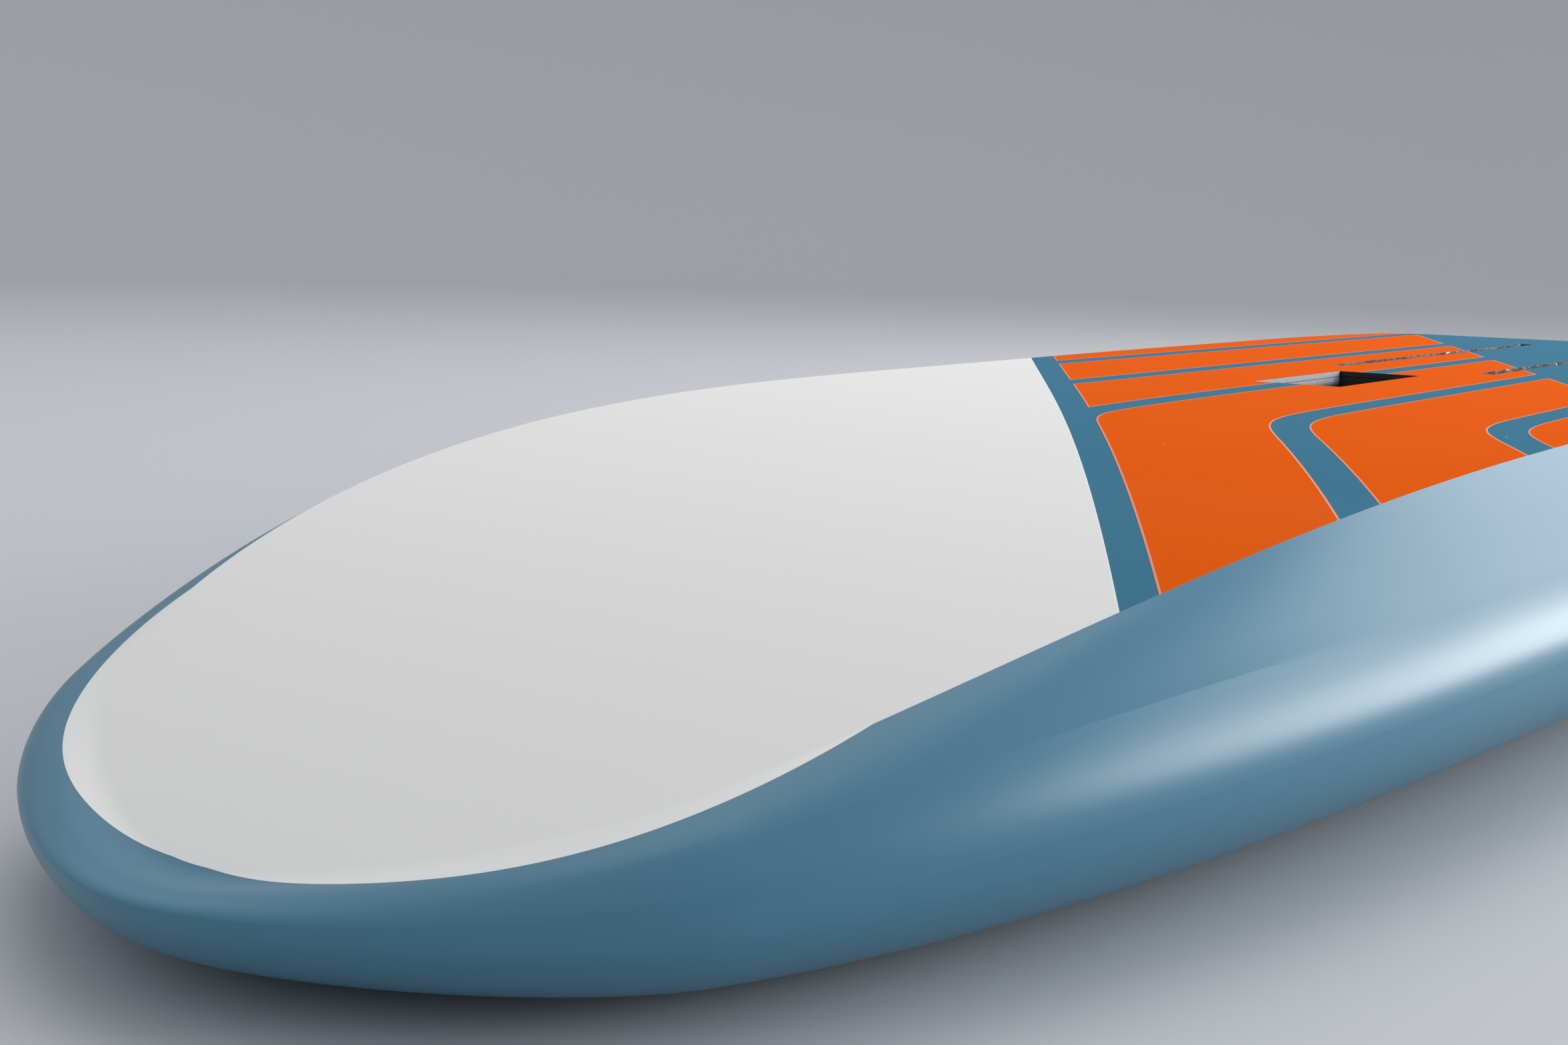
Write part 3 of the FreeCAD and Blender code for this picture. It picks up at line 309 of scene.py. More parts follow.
def smooth(obj, degrees):
    """Smooth shading with edges sharper than the angle kept crisp."""
    obj.data.shade_smooth()
    obj.data.set_sharp_from_angle(angle=math.radians(degrees))


def block_mesh(low, high, finish):
    """Corners, faces and finish of an upright box."""
    x, y, z = zip(low, high)
    corners = [(a, b, c) for c in z for b in y for a in x]
    faces = [(0, 2, 3, 1), (4, 5, 7, 6), (0, 1, 5, 4), (2, 6, 7, 3), (0, 4, 6, 2), (1, 3, 7, 5)]
    return corners, faces, finish


def drum_mesh(x, y, radius, low, high, finish, sides=CUT_SIDES):
    """Corners, faces and finish of an upright cylinder."""
    angle = np.arange(sides) * 2 * np.pi / sides
    ring = np.stack([x + radius * np.cos(angle), y + radius * np.sin(angle)], axis=1)
    corners = [(a, b, low) for a, b in ring] + [(a, b, high) for a, b in ring]
    faces = [tuple(range(sides - 1, -1, -1)), tuple(range(sides, 2 * sides))]
    faces += [(k, (k + 1) % sides, sides + (k + 1) % sides, sides + k) for k in range(sides)]
    return corners, faces, finish


def finished(obj, thickness, cutters):
    """One plain mesh: a wall of this thickness inwards, with openings cut through it in their own finish."""
    wall = obj.modifiers.new("wall", "SOLIDIFY")
    wall.thickness = thickness
    wall.offset = -1
    made = []
    for corners, faces, cut_finish in cutters:
        mesh = bpy.data.meshes.new("opening")
        mesh.from_pydata(corners, [], faces)
        mesh.materials.append(cut_finish)
        cutter = bpy.data.objects.new("opening", mesh)
        bpy.context.collection.objects.link(cutter)
        step = obj.modifiers.new("opening", "BOOLEAN")
        step.operation = "DIFFERENCE"
        step.solver = "EXACT"
        step.material_mode = "TRANSFER"
        step.object = cutter
        made.append(cutter)
    bpy.context.view_layer.update()
    shaped = bpy.data.meshes.new_from_object(obj.evaluated_get(bpy.context.evaluated_depsgraph_get()))
    obj.modifiers.clear()
    obj.data = shaped
    for cutter in made:
        bpy.data.objects.remove(cutter)
    return obj


# Materials
def colour(code):
    """Linear colour of a written one such as d9480f."""
    parts = [int(code[i:i + 2], 16) / 255 for i in (0, 2, 4)]
    return [p / 12.92 if p <= 0.04045 else ((p + 0.055) / 1.055) ** 2.4 for p in parts] + [1]


class Sheet:
    """A node tree with short calls for what the materials need."""

    def __init__(self, tree):
        self.tree = tree
        self.nodes = tree.nodes

    def put(self, socket, value):
        if isinstance(value, bpy.types.NodeSocket):
            self.tree.links.new(value, socket)
        elif value is not None:
            socket.default_value = value

    def node(self, kind, **settings):
        made = self.nodes.new(kind)
        for name, value in settings.items():
            setattr(made, name, value)
        return made

    def math(self, operation, *values, clamp=False):
        made = self.node("ShaderNodeMath", operation=operation, use_clamp=clamp)
        for socket, value in zip(made.inputs, values):
            self.put(socket, value)
        return made.outputs[0]

    def mix(self, share, first, second):
        made = self.node("ShaderNodeMix", data_type="RGBA")
        self.put(made.inputs["Factor"], share)
        self.put(made.inputs["A"], first)
        self.put(made.inputs["B"], second)
        return made.outputs["Result"]

    def blend(self, share, first, second):
        made = self.node("ShaderNodeMix", data_type="FLOAT")
        self.put(made.inputs["Factor"], share)
        self.put(made.inputs["A"], first)
        self.put(made.inputs["B"], second)
        return made.outputs["Result"]

    def place(self):
        return self.node("ShaderNodeTexCoord").outputs["Object"]

    def stretched(self, vector, scale):
        made = self.node("ShaderNodeMapping")
        self.put(made.inputs["Vector"], vector)
        made.inputs["Scale"].default_value = scale
        return made.outputs["Vector"]

    def noise(self, vector, scale, detail=2.0, roughness=0.5):
        made = self.node("ShaderNodeTexNoise")
        self.put(made.inputs["Vector"], vector)
        made.inputs["Scale"].default_value = scale
        made.inputs["Detail"].default_value = detail
        made.inputs["Roughness"].default_value = roughness
        return made.outputs["Fac"]

    def cells(self, vector, scale):
        """Distance to the nearest cell's point, and a random colour for each cell."""
        made = self.node("ShaderNodeTexVoronoi", feature="F1")
        self.put(made.inputs["Vector"], vector)
        made.inputs["Scale"].default_value = scale
        return made.outputs["Distance"], made.outputs["Color"]

    def ramp(self, value, low, high):
        """0 below low, 1 above high, straight between them."""
        made = self.node("ShaderNodeMapRange")
        self.put(made.inputs["Value"], value)
        made.inputs["From Min"].default_value = low
        made.inputs["From Max"].default_value = high
        return made.outputs["Result"]

    def bump(self, height, distance, strength=1.0, normal=None):
        made = self.node("ShaderNodeBump")
        self.put(made.inputs["Height"], height)
        made.inputs["Distance"].default_value = distance
        made.inputs["Strength"].default_value = strength
        if normal is not None:
            self.put(made.inputs["Normal"], normal)
        return made.outputs["Normal"]


def new_group(name, inputs, outputs):
    """A node group with named inputs (name, kind, value) and outputs (name, kind)."""
    tree = bpy.data.node_groups.new(name, "ShaderNodeTree")
    for label, kind, value in inputs:
        socket = tree.interface.new_socket(label, in_out="INPUT", socket_type=kind)
        if value is not None:
            socket.default_value = value
    for label, kind in outputs:
        tree.interface.new_socket(label, in_out="OUTPUT", socket_type=kind)
    sheet = Sheet(tree)
    return sheet, sheet.node("NodeGroupInput").outputs, sheet.node("NodeGroupOutput").inputs


def use_group(sheet, group, **values):
    made = sheet.node("ShaderNodeGroup", node_tree=group)
    for name, value in values.items():
        sheet.put(made.inputs[name.replace("_", " ")], value)
    return made.outputs


def paint_wear_group():
    """Sprayed finish: fine ripple, settled dust specks and faint scratches."""
    sheet, given, out = new_group(
        "sprayed finish",
        [("Vector", "NodeSocketVector", None), ("Speck Density", "NodeSocketFloat", 0.5)],
        [("Height", "NodeSocketFloat"), ("Specks", "NodeSocketFloat"), ("Scratches", "NodeSocketFloat")]
    )
    ripple = sheet.noise(given["Vector"], 160.0, 1.0)
    slow = sheet.noise(given["Vector"], 9.0, 1.0)
    apart, chance = sheet.cells(given["Vector"], 1 / SPECK_SPACING)
    chosen = sheet.node("ShaderNodeSeparateColor")
    sheet.put(chosen.inputs[0], chance)
    keep = sheet.math("LESS_THAN", chosen.outputs["Red"], given["Speck Density"])
    speck = sheet.math("MULTIPLY", sheet.ramp(apart, 0.038, 0.026), keep)
    long_noise = sheet.noise(sheet.stretched(given["Vector"], (6.0, 210.0, 60.0)), 1.0, 3.0, 0.6)
    patch = sheet.ramp(sheet.noise(given["Vector"], 5.0, 2.0), 0.56, 0.68)
    scratch = sheet.math("MULTIPLY", sheet.ramp(long_noise, 0.76, 0.82), patch)
    height = sheet.math("MULTIPLY", ripple, 0.10)
    height = sheet.math("ADD", height, sheet.math("MULTIPLY", slow, 0.25))
    height = sheet.math("ADD", height, sheet.math("MULTIPLY", speck, 0.9))
    height = sheet.math("SUBTRACT", height, sheet.math("MULTIPLY", scratch, 0.15))
    sheet.put(out["Height"], height)
    sheet.put(out["Specks"], speck)
    sheet.put(out["Scratches"], scratch)
    return sheet.tree


def stripe_group():
    """Masks of the painted bottom: the white nose, the orange bars, how far a place is inside a film, and a
    thin rim just inside the orange films' edges that carries a painted highlight.
    """
    sheet, given, out = new_group(
        "bottom stripes", [("Vector", "NodeSocketVector", None)],
        [
            ("White", "NodeSocketFloat"), ("Orange", "NodeSocketFloat"),
            ("Inside", "NodeSocketFloat"), ("Rim Highlight", "NodeSocketFloat")
        ]
    )
    split = sheet.node("ShaderNodeSeparateXYZ")
    sheet.put(split.inputs[0], given["Vector"])
    x, y = split.outputs["X"], split.outputs["Y"]

    def behind(place, slope, at_y=0.0):
        """Distance behind the line x = place + slope * (y - at_y)."""
        lean = sheet.math("MULTIPLY", sheet.math("SUBTRACT", y, at_y), slope)
        ahead = sheet.math("SUBTRACT", sheet.math("SUBTRACT", x, place), lean)
        return sheet.math("DIVIDE", ahead, math.hypot(1, slope))

    def beside(value):
        """Distance from a gap's side, from the distance to its middle."""
        return sheet.math("SUBTRACT", sheet.math("ABSOLUTE", value), GAP_WIDTH / 2)

    white = sheet.math("MULTIPLY", behind(WHITE_EDGE_PLACE, WHITE_EDGE_SLOPE), -1.0)
    front = behind(FRONT_PLACE, FRONT_SLOPE)
    rear = sheet.math("MULTIPLY", behind(REAR_PLACE, REAR_SLOPE), -1.0)
    inner_side = sheet.math("SUBTRACT", STRAIGHT_GAPS[2] - GAP_WIDTH / 2, y)
    outboard = sheet.math("SMOOTH_MIN", front, inner_side, CORNER_ROUNDING)
    inboard = sheet.math("MINIMUM", front, sheet.math("MULTIPLY", inner_side, -1.0))
    orange = sheet.math("MAXIMUM", outboard, inboard)
    orange = sheet.math("MINIMUM", orange, rear)
    for middle in STRAIGHT_GAPS:
        orange = sheet.math("MINIMUM", orange, beside(sheet.math("SUBTRACT", y, middle)))
    for bend_x, bend_y in BENT_GAPS:
        along = sheet.math("SUBTRACT", bend_y, y)
        slanted = behind(bend_x, BEND_SLOPE, bend_y)
        path = sheet.math("SMOOTH_MIN", along, slanted, BEND_ROUNDING)
        orange = sheet.math("MINIMUM", orange, beside(path))
    sheet.put(out["White"], sheet.math("GREATER_THAN", white, 0.0))
    sheet.put(out["Orange"], sheet.math("GREATER_THAN", orange, 0.0))
    inside = sheet.ramp(sheet.math("MAXIMUM", white, orange), -FILM_EDGE, FILM_EDGE)
    sheet.put(out["Inside"], inside)
    # Painted highlight: a rim 0.7 mm wide just inside each orange film's edge
    near_edge_highlight = sheet.math("LESS_THAN", orange, RIM_HIGHLIGHT_WIDTH)
    sheet.put(out["Rim Highlight"], sheet.math("MULTIPLY", near_edge_highlight, sheet.math("GREATER_THAN", orange, 0.0)))
    return sheet.tree


def white_tip_group():
    """White on the bevel at the nose: |y| under W (1 - (1 - share)^power)^(1 / bluntness) near the tip."""
    sheet, given, out = new_group(
        "white tip", [("Vector", "NodeSocketVector", None)], [("White", "NodeSocketFloat")]
    )
    split = sheet.node("ShaderNodeSeparateXYZ")
    sheet.put(split.inputs[0], given["Vector"])
    start = WHITE_TIP_START - LENGTH / 2
    share = sheet.ramp(split.outputs["X"], start, start + WHITE_TIP_LENGTH)
    rest = sheet.math("POWER", sheet.math("SUBTRACT", 1.0, share), WHITE_TIP_POWER)
    rise = sheet.math("POWER", sheet.math("SUBTRACT", 1.0, rest, clamp=True), 1 / WHITE_TIP_BLUNTNESS)
    half = sheet.math("MULTIPLY", rise, WHITE_TIP_HALF_WIDTH)
    within = sheet.math("LESS_THAN", sheet.math("ABSOLUTE", split.outputs["Y"]), half)
    ahead = sheet.math("LESS_THAN", share, 1.0)
    sheet.put(out["White"], sheet.math("MULTIPLY", within, ahead))
    return sheet.tree


def new_material(name, base, roughness, metallic=0.0, coat=0.0, coat_roughness=0.05, specular=0.5):
    material = bpy.data.materials.new(name)
    material.use_nodes = True
    sheet = Sheet(material.node_tree)
    shader = material.node_tree.nodes["Principled BSDF"]
    shader.inputs["Base Color"].default_value = base
    shader.inputs["Roughness"].default_value = roughness
    shader.inputs["Metallic"].default_value = metallic
    shader.inputs["Coat Weight"].default_value = coat
    shader.inputs["Coat Roughness"].default_value = coat_roughness
    shader.inputs["Specular IOR Level"].default_value = specular
    return material, sheet, shader


BLUE = colour("437c97")
ORANGE = colour("f06000")
WHITE = colour("f0efed")
RUBBED_BLUE = colour("9fbcc8")
DUST = colour("f2e9df")
# Pale pink of the painted highlight along the orange films' edges
FILM_RIM_HIGHLIGHT = colour("f8d5c6")
SATIN = 0.38
SPRAY_DEPTH = 0.00012
sprayed = paint_wear_group()
stripes = stripe_group()
white_tip = white_tip_group()


def panel_paint():
    """Bottom panel: white, orange and blue films with a sharp raised edge, and a pale pink painted highlight
    along the orange films' edges.
    """
    material, sheet, shader = new_material(
        "bottom paint", BLUE, 0.3, coat=0.06, coat_roughness=0.12, specular=0.0
    )
    at = sheet.place()
    masks = use_group(sheet, stripes, Vector=at)
    wear = use_group(sheet, sprayed, Vector=at, Speck_Density=0.10)
    tone = sheet.mix(masks["White"], BLUE, WHITE)
    tone = sheet.mix(masks["Orange"], tone, ORANGE)
    # Painted highlight: pale pink mixed in along the orange films' edges
    tone = sheet.mix(sheet.math("MULTIPLY", masks["Rim Highlight"], 0.45), tone, FILM_RIM_HIGHLIGHT)
    tone = sheet.mix(sheet.math("MULTIPLY", wear["Specks"], 0.6), tone, DUST)
    sheet.put(shader.inputs["Base Color"], tone)
    rough = sheet.blend(masks["White"], 0.30, 0.42)
    rough = sheet.blend(masks["Orange"], rough, 0.22)
    rough = sheet.math("ADD", rough, sheet.math("MULTIPLY", wear["Scratches"], 0.15))
    sheet.put(shader.inputs["Roughness"], rough)
    film = sheet.bump(masks["Inside"], 0.00015)
    sheet.put(shader.inputs["Normal"], sheet.bump(wear["Height"], SPRAY_DEPTH, 1.0, film))
    return material


def hull_paint(name, density, tip=False):
    """Satin blue of the rails and the deck, with the white field's tip on the bevel where tip is set."""
    material, sheet, shader = new_material(name, BLUE, SATIN, coat=0.1, coat_roughness=0.3)
    at = sheet.place()
    wear = use_group(sheet, sprayed, Vector=at, Speck_Density=density)
    rough = sheet.math("ADD", SATIN, sheet.math("MULTIPLY", wear["Scratches"], 0.18))
    sheet.put(shader.inputs["Roughness"], rough)
    tone = sheet.mix(sheet.math("MULTIPLY", wear["Scratches"], 0.35), BLUE, RUBBED_BLUE)
    if tip:
        tone = sheet.mix(use_group(sheet, white_tip, Vector=at)["White"], tone, WHITE)
    sheet.put(shader.inputs["Base Color"], tone)
    sheet.put(shader.inputs["Normal"], sheet.bump(wear["Height"], SPRAY_DEPTH))
    return material


def moulded(name, code, roughness, grain, depth):
    """Moulded or cast surface with an even grain."""
    material, sheet, shader = new_material(name, colour(code), roughness)
    at = sheet.place()
    fine = sheet.noise(at, grain, 3.0)
    sheet.put(shader.inputs["Normal"], sheet.bump(fine, depth))
    patch = sheet.noise(at, 18.0, 3.0)
    rough = sheet.blend(sheet.ramp(patch, 0.3, 0.7), roughness - 0.06, roughness + 0.08)
    sheet.put(shader.inputs["Roughness"], rough)
    return material


def cup_paint():
    """Handle cup: light grey near the edge, dark and fibrous below, with the rear wall painted near-black as
    painted shade.
    """
    material, sheet, shader = new_material("handle moulding with painted shade", colour("8f9596"), 0.5)
    at = sheet.place()
    split = sheet.node("ShaderNodeSeparateXYZ")
    sheet.put(split.inputs[0], at)
    depth = sheet.math("SUBTRACT", BOTTOM, split.outputs["Z"])
    wobble = sheet.math("MULTIPLY", sheet.noise(at, 60.0, 3.0), 0.003)
    lower = sheet.ramp(sheet.math("ADD", depth, wobble), 0.007, 0.010)
    fibre = sheet.noise(sheet.stretched(at, (500.0, 60.0, 500.0)), 1.0, 4.0, 0.7)
    floor = sheet.mix(sheet.ramp(fibre, 0.45, 0.7), colour("1b1e20"), colour("4a4637"))
    wall = sheet.mix(sheet.ramp(fibre, 0.35, 0.75), colour("9da1ab"), colour("b9bcc4"))
    tone = sheet.mix(lower, wall, floor)
    # Painted shade: the rear wall, which faces away from the lamps, is painted near-black
    rear = sheet.math("GREATER_THAN", split.outputs["X"], handle_high[0] - HANDLE_FLANGE - REAR_SHADE)
    sheet.put(shader.inputs["Base Color"], sheet.mix(rear, tone, colour("16181a")))
    sheet.put(shader.inputs["Normal"], sheet.bump(fibre, 0.0003))
    return material


GROOVE_SPACING = 0.009
GROOVE_SIDE = (0.0008, 0.0016)
GROOVE_DEPTH = 0.0012


def foam_pad():
    """Soft foam sheet with crossing grooves, which are painted darker as shade."""
    material, sheet, shader = new_material("pad foam", colour("30363b"), 0.85, specular=0.25)
    at = sheet.place()
    split = sheet.node("ShaderNodeSeparateXYZ")
    sheet.put(split.inputs[0], at)
    heights = []
    for sign in (1.0, -1.0):
        lean = sheet.math("ADD", split.outputs["X"], sheet.math("MULTIPLY", split.outputs["Y"], sign))
        wave = sheet.math("PINGPONG", lean, GROOVE_SPACING)
        heights.append(sheet.ramp(wave, *GROOVE_SIDE))
    face = sheet.math("MULTIPLY", heights[0], heights[1])
    grain = sheet.noise(at, 900.0, 2.0)
    height = sheet.math("ADD", face, sheet.math("MULTIPLY", grain, 0.12))
    sheet.put(shader.inputs["Normal"], sheet.bump(height, GROOVE_DEPTH))
    # Painted shade: the grooves darker than the top face
    sheet.put(shader.inputs["Base Color"], sheet.mix(face, colour("1d2124"), colour("363d43")))
    return material


def brushed(name, code, roughness):
    """Machined metal with fine turning lines."""
    material, sheet, shader = new_material(name, colour(code), roughness, metallic=1.0)
    lines = sheet.noise(sheet.stretched(sheet.place(), (80.0, 2600.0, 2600.0)), 1.0, 2.0)
    sheet.put(shader.inputs["Normal"], sheet.bump(lines, 0.00002))
    sheet.put(shader.inputs["Roughness"], sheet.blend(lines, roughness - 0.08, roughness + 0.1))
    return material


def slot_wear_and_glints():
    """Cut edge of a slot: dark laminate, lighter grey in worn patches that partly stand for a painted sheen,
    with a few painted glints as near-white spots.
    """
    material, sheet, shader = new_material("worn slot edge, painted glints", colour("3a3d40"), 0.4)
    at = sheet.place()
    rubbed_and_sheen = sheet.noise(sheet.stretched(at, (90.0, 400.0, 400.0)), 1.0, 4.0, 0.7)
    painted_glint = sheet.noise(sheet.stretched(at, (45.0, 150.0, 150.0)), 1.0, 2.0)
    # Worn patches painted lighter grey: partly wear, partly a painted sheen
    tone = sheet.mix(sheet.ramp(rubbed_and_sheen, 0.45, 0.65), colour("2b2d2f"), colour("9a9da1"))
    # Painted glints: near-white spots mixed into the colour
    sheet.put(shader.inputs["Base Color"], sheet.mix(sheet.ramp(painted_glint, 0.66, 0.7), tone, colour("f0f0f0")))
    sheet.put(shader.inputs["Normal"], sheet.bump(rubbed_and_sheen, 0.0004))
    return material


panel_finish = panel_paint()
worn_edge_with_glints = slot_wear_and_glints()
rail_finish = hull_paint("rail paint", 0.03, tip=True)
deck_finish = hull_paint("deck paint", 0.02)

finish_of_slot = {
    "foam": moulded("foam blank", "e9e6da", 0.8, 700.0, 0.0003),
    "stringer_laminate": moulded("web laminate", "caa56a", 0.45, 500.0, 0.0002),
    "dense_foam": moulded("dense foam", "d9b78a", 0.75, 600.0, 0.0002),
    "handle_moulding": cup_paint(),
    "track_moulding": moulded("track moulding", "202224", 0.42, 400.0, 0.00015),
    "nut_metal": brushed("nut metal", "b9b7b2", 0.3),
    "fitting_black": moulded("black fitting", "1b1c1e", 0.45, 900.0, 0.0001),
    "vent_screw": moulded("vent plug", "c9452a", 0.38, 900.0, 0.00005),
    "seal": moulded("seal rubber", "151515", 0.7, 900.0, 0.00005),
    "membrane": moulded("membrane", "f2f2ee", 0.7, 1500.0, 0.00005),
    "stainless": brushed("stainless bar", "c6c7c6", 0.22),
    "pad_foam": foam_pad(),
    "hull_paint": panel_finish,
    "deck_paint": deck_finish,
}

for entry in frame["record"]["subparts"]:
    node = frame["nodes"][entry["node"]]
    node.data.materials.clear()
    node.data.materials.append(finish_of_slot[entry["material_slot"]])

# Bottom half of the hull, with the handle opening and the slots over the tracks
edge, bevel, band = bottom_grids()
bottom = piece(
    "hull_bottom",
    [(lid_grid(edge), 0)] + [(side(grid), 1) for grid in (bevel, band) for side in (np.array, mirrored)],
    1, [panel_finish, rail_finish]
)
openings = [block_mesh(
    (handle_low[0] + HANDLE_FLANGE, -HANDLE_WIDTH / 2, BOTTOM - CUT_DEPTH),
    (handle_high[0] - HANDLE_FLANGE, HANDLE_WIDTH / 2, BOTTOM + CUT_RISE),
    finish_of_slot["handle_moulding"]
)]
for track in ("track_box_port", "track_box_starboard"):
    low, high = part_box(track)
    middle = (low[1] + high[1]) / 2
    openings.append(block_mesh(
        (low[0] + TRACK_WALL, middle - SLOT_WIDTH / 2, BOTTOM - CUT_DEPTH),
        (high[0] - TRACK_WALL, middle + SLOT_WIDTH / 2, BOTTOM + CUT_RISE),
        worn_edge_with_glints
    ))
finished(bottom, SKIN, openings)
smooth(bottom, CHINE_ANGLE)
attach(bottom, "board")
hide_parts("bottom_shell")

# Deck half of the hull, with holes for the vent, the leash plug and the strap inserts
deck_edge, roll = deck_grid()
deck = piece(
    "hull_deck", [(lid_grid(deck_edge), 0), (roll, 0), (mirrored(roll), 0)], -1, [deck_finish]
)


def flange_hole(node):
    """Upright hole round a flanged fitting that lies flush in the deck."""
    low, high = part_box(node)
    radius = (high[0] - low[0]) / 2 + HOLE_GAP
    x, y = (low[0] + high[0]) / 2, (low[1] + high[1]) / 2
    return drum_mesh(x, y, radius, 0, low[2] + DECK_CUT, deck_finish)


insert_low, insert_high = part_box("strap_inserts")
front_row, rear_row = insert_low[0] + INSERT_RADIUS, insert_high[0] - INSERT_RADIUS
outer = insert_high[1] - INSERT_RADIUS
insert_places = [(front_row, y) for y in (-outer, -STRAP_INNER_PLACE, STRAP_INNER_PLACE, outer)]
insert_places += [(rear_row, y) for y in (-STRAP_SPACING / 2, STRAP_SPACING / 2)]
holes = [flange_hole("vent_insert"), flange_hole("leash_cup")]
holes += [
    drum_mesh(x, y, INSERT_RADIUS + HOLE_GAP, 0, PAD_THICKNESS + DECK_CUT, deck_finish)
    for x, y in insert_places
]
finished(deck, SKIN, holes)
smooth(deck, HULL_ANGLE)
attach(deck, "board")
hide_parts("deck_shell")


# Deck pads. PAD_EDGE is the rounded lower edge, as inset and height.
PAD_EDGE = ((0, 0.0016), (0.0003, 0.0008), (0.0008, 0.0003), (0.0016, 0))


def pad_corner(end, half, radius, turn):
    """Quarter round that meets an end of a pad: turn is 1 at the front end and -1 at the rear end."""
    if not radius:
        return np.array([[end, half]])
    arc = np.linspace(0, np.pi / 2, CORNER_POINTS)
    along = end + turn * radius * (1 - np.sin(arc))
    across = half - radius * (1 - np.cos(arc))
    rounded = np.stack([along, across], axis=1)
    return rounded[::-1] if turn > 0 else rounded


def pad_outline(low, high, half_front, half_rear, front_radius, rear_radius):
    """Closed outline: a trapezium with rounded free corners, as an array of points round it."""
    front = pad_corner(low, half_front, front_radius, 1)
    rear = pad_corner(high, half_rear, rear_radius, -1)
    port = np.concatenate([front, rear])
    return np.concatenate([port, port[::-1] * (1, -1)])


def pad(name, half_front, half_rear, front_radius, rear_radius):
    """Sheet of foam: walls up from a rounded lower edge, closed by flat faces."""
    low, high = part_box(name)
    middle = np.array([(low[0] + high[0]) / 2, 0])
    outline = pad_outline(low[0], high[0], half_front, half_rear, front_radius, rear_radius)
    half = np.array([(high[0] - low[0]) / 2, max(half_front, half_rear)])
    rings = []
    for inset, height in ((0, high[2]),) + PAD_EDGE:
        flat = middle + (outline - middle) * (1 - inset / half)
        rings.append(np.column_stack([flat, np.full(len(flat), low[2] + height)]))
    count = len(outline)
    points = np.concatenate(rings)
    around = np.arange(count)
    nearby = (around + 1) % count
    one_wall = np.stack([around, nearby, count + nearby, count + around], axis=1)
    walls = [one_wall + k * count for k in range(len(rings) - 1)]
    faces = np.concatenate(walls).tolist()
    faces += [around.tolist()[::-1], (around + (len(rings) - 1) * count).tolist()]
    mesh = bpy.data.meshes.new(name + "_sheet")
    mesh.from_pydata(points.tolist(), [], faces)
    work = bmesh.new()
    work.from_mesh(mesh)
    bmesh.ops.recalc_face_normals(work, faces=work.faces)
    work.to_mesh(mesh)
    work.free()
    mesh.materials.append(finish_of_slot["pad_foam"])
    obj = bpy.data.objects.new(name + "_sheet", mesh)
    bpy.context.collection.objects.link(obj)
    smooth(obj, PAD_ANGLE)
    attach(obj, "board")
    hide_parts(name)
    return obj


PAD_HALF_WIDTH, PAD_TAPER, PAD_CORNER = 0.164, 0.03, 0.028
pad("deck_pad_front", PAD_HALF_WIDTH, PAD_HALF_WIDTH, PAD_CORNER, 0)
pad("deck_pad_middle", PAD_HALF_WIDTH, PAD_HALF_WIDTH, 0, 0)
pad("deck_pad_rear", PAD_HALF_WIDTH, PAD_HALF_WIDTH - PAD_TAPER, 0, PAD_CORNER)


# Studio: a round pale floor that rises into a backdrop
FLOOR_RADIUS, FLOOR_BEND = 6.0, 2.6
WORLD_LEVEL = 0.6


def floor_bowl(flat_radius, bend_radius, sides=FLOOR_SIDES):
    """Profile turned round Z: level, then a quarter circle up."""
    turn = np.linspace(0, np.pi / 2, FLOOR_BEND_POINTS)
    radius = np.concatenate([[0.001, flat_radius / 2], flat_radius + bend_radius * np.sin(turn)])
    level = np.concatenate([[0, 0], bend_radius * (1 - np.cos(turn))])
    angle = np.linspace(0, 2 * np.pi, sides + 1)
    x, y = radius[:, None] * np.cos(angle), radius[:, None] * np.sin(angle)
    return np.stack([x, y, np.repeat(level[:, None], sides + 1, axis=1)], axis=2)


floor_material, _, _ = new_material("floor", colour("cdcfd2"), 0.9, specular=0.1)
floor = piece("floor", [(floor_bowl(FLOOR_RADIUS, FLOOR_BEND), 0)], 1, [floor_material])
smooth(floor, FLOOR_ANGLE)

world = bpy.data.worlds.new("studio")
bpy.context.scene.world = world
world.use_nodes = True
world.node_tree.nodes["Background"].inputs["Color"].default_value = (0.95, 0.97, 1.0, 1)
world.node_tree.nodes["Background"].inputs["Strength"].default_value = WORLD_LEVEL


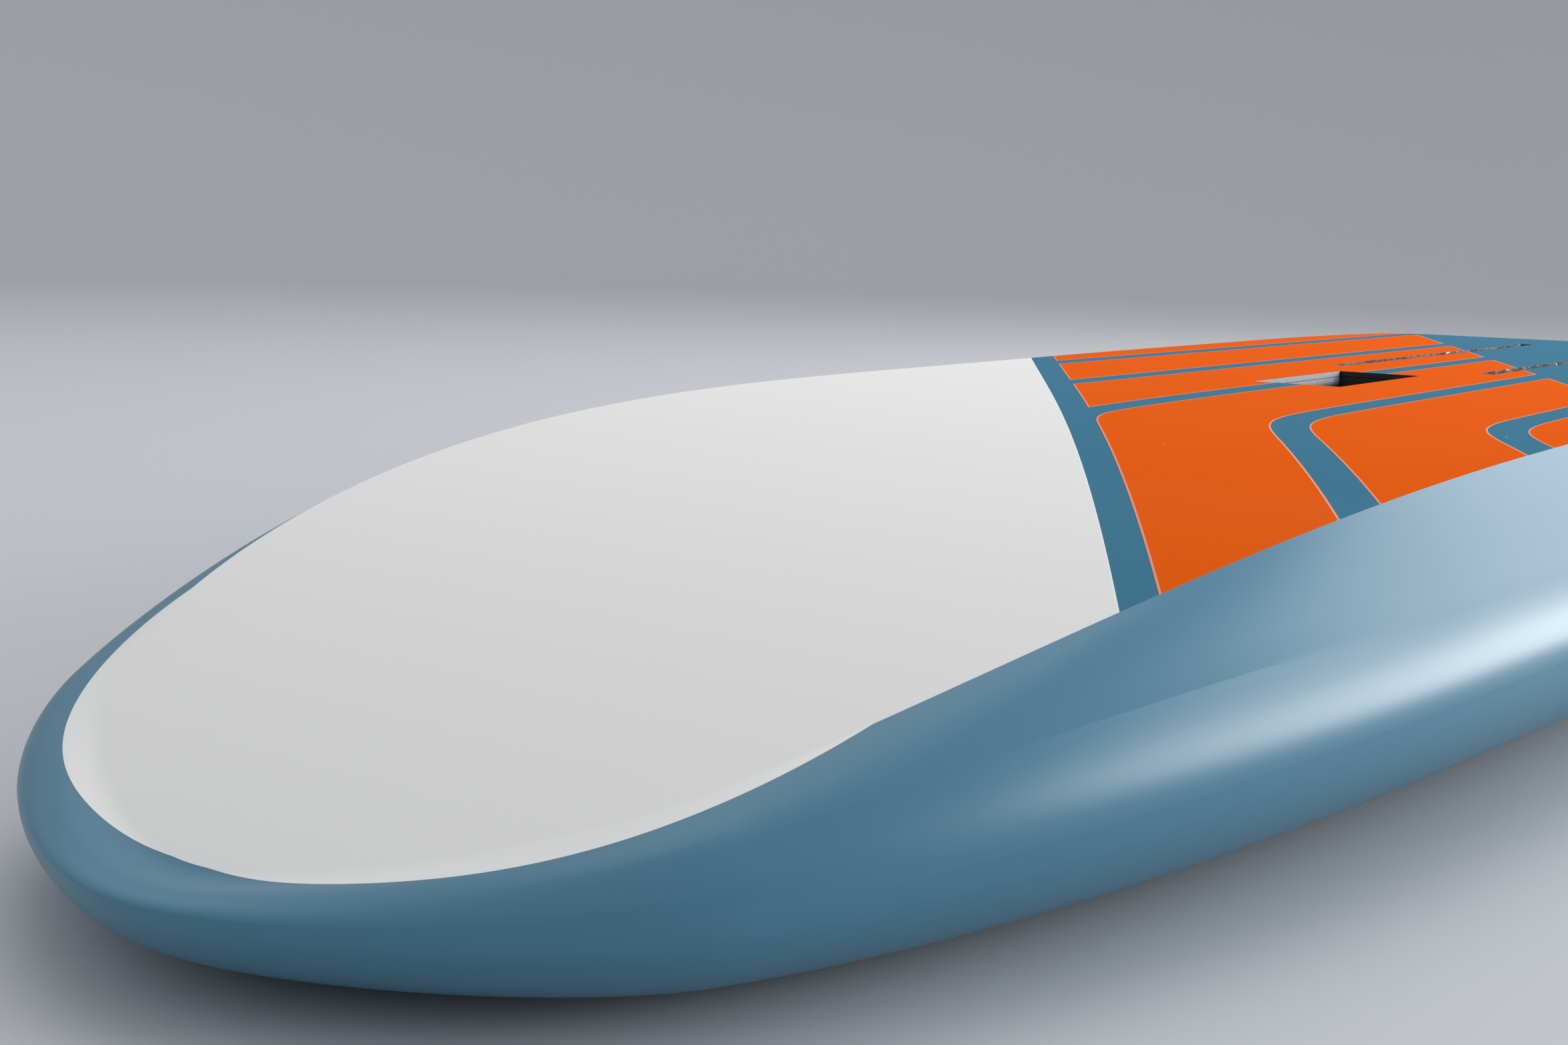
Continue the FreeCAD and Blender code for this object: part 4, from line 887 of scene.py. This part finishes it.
def softbox(name, place, target, width, height, power):
    """Area lamp at a place, facing the target."""
    lamp = bpy.data.lights.new(name, "AREA")
    lamp.shape = "RECTANGLE"
    lamp.size = width
    lamp.size_y = height
    lamp.energy = power
    obj = bpy.data.objects.new(name, lamp)
    bpy.context.collection.objects.link(obj)
    away = np.array(place, float) - np.array(target, float)
    away /= np.linalg.norm(away)
    side = np.cross((0, 0, 1), away)
    side /= np.linalg.norm(side)
    rise = np.cross(away, side)
    matrix = np.eye(4)
    matrix[:3, 0], matrix[:3, 1], matrix[:3, 2], matrix[:3, 3] = side, rise, away, place
    obj.matrix_world = matrix.T.tolist()
    return obj


# Name, place, target, width, height and power
for box in (
    ("overhead box", (0.6, 0.4, 3.2), (0.0, 0.0, 0.1), 3.2, 2.6, 27),
    ("side box", (2.3, -1.0, 1.2), (0.2, -0.25, 0.08), 2.4, 0.8, 15),
    ("near box", (1.4, -2.1, 0.62), (0.1, -0.27, 0.07), 2.6, 0.9, 58),
):
    softbox(*box)

# Camera at the photograph's viewing angle
FOCAL_PIXELS = 2840.8
IMAGE_WIDTH = 2352
SENSOR_WIDTH = 36.0
CAMERA_RIGHT = np.array([0.58529, -0.81045, 0.02464])
CAMERA_DOWN = np.array([-0.10558, -0.10631, -0.98871])
CAMERA_AHEAD = np.array([0.80392, 0.57608, -0.14779])
CAMERA_PLACE = (-1.0502, -0.3676, 0.1844)
camera_data = bpy.data.cameras.new("camera")
camera_data.sensor_width = SENSOR_WIDTH
camera_data.lens = FOCAL_PIXELS / IMAGE_WIDTH * SENSOR_WIDTH
camera_data.clip_start = 0.01
camera = bpy.data.objects.new("camera", camera_data)
bpy.context.collection.objects.link(camera)
turned = np.eye(4)
turned[:3, 0], turned[:3, 1], turned[:3, 2] = CAMERA_RIGHT, -CAMERA_DOWN, -CAMERA_AHEAD
turned[:3, 3] = CAMERA_PLACE
camera.matrix_world = turned.T.tolist()
bpy.context.scene.camera = camera
bpy.context.scene.view_settings.view_transform = "Standard"
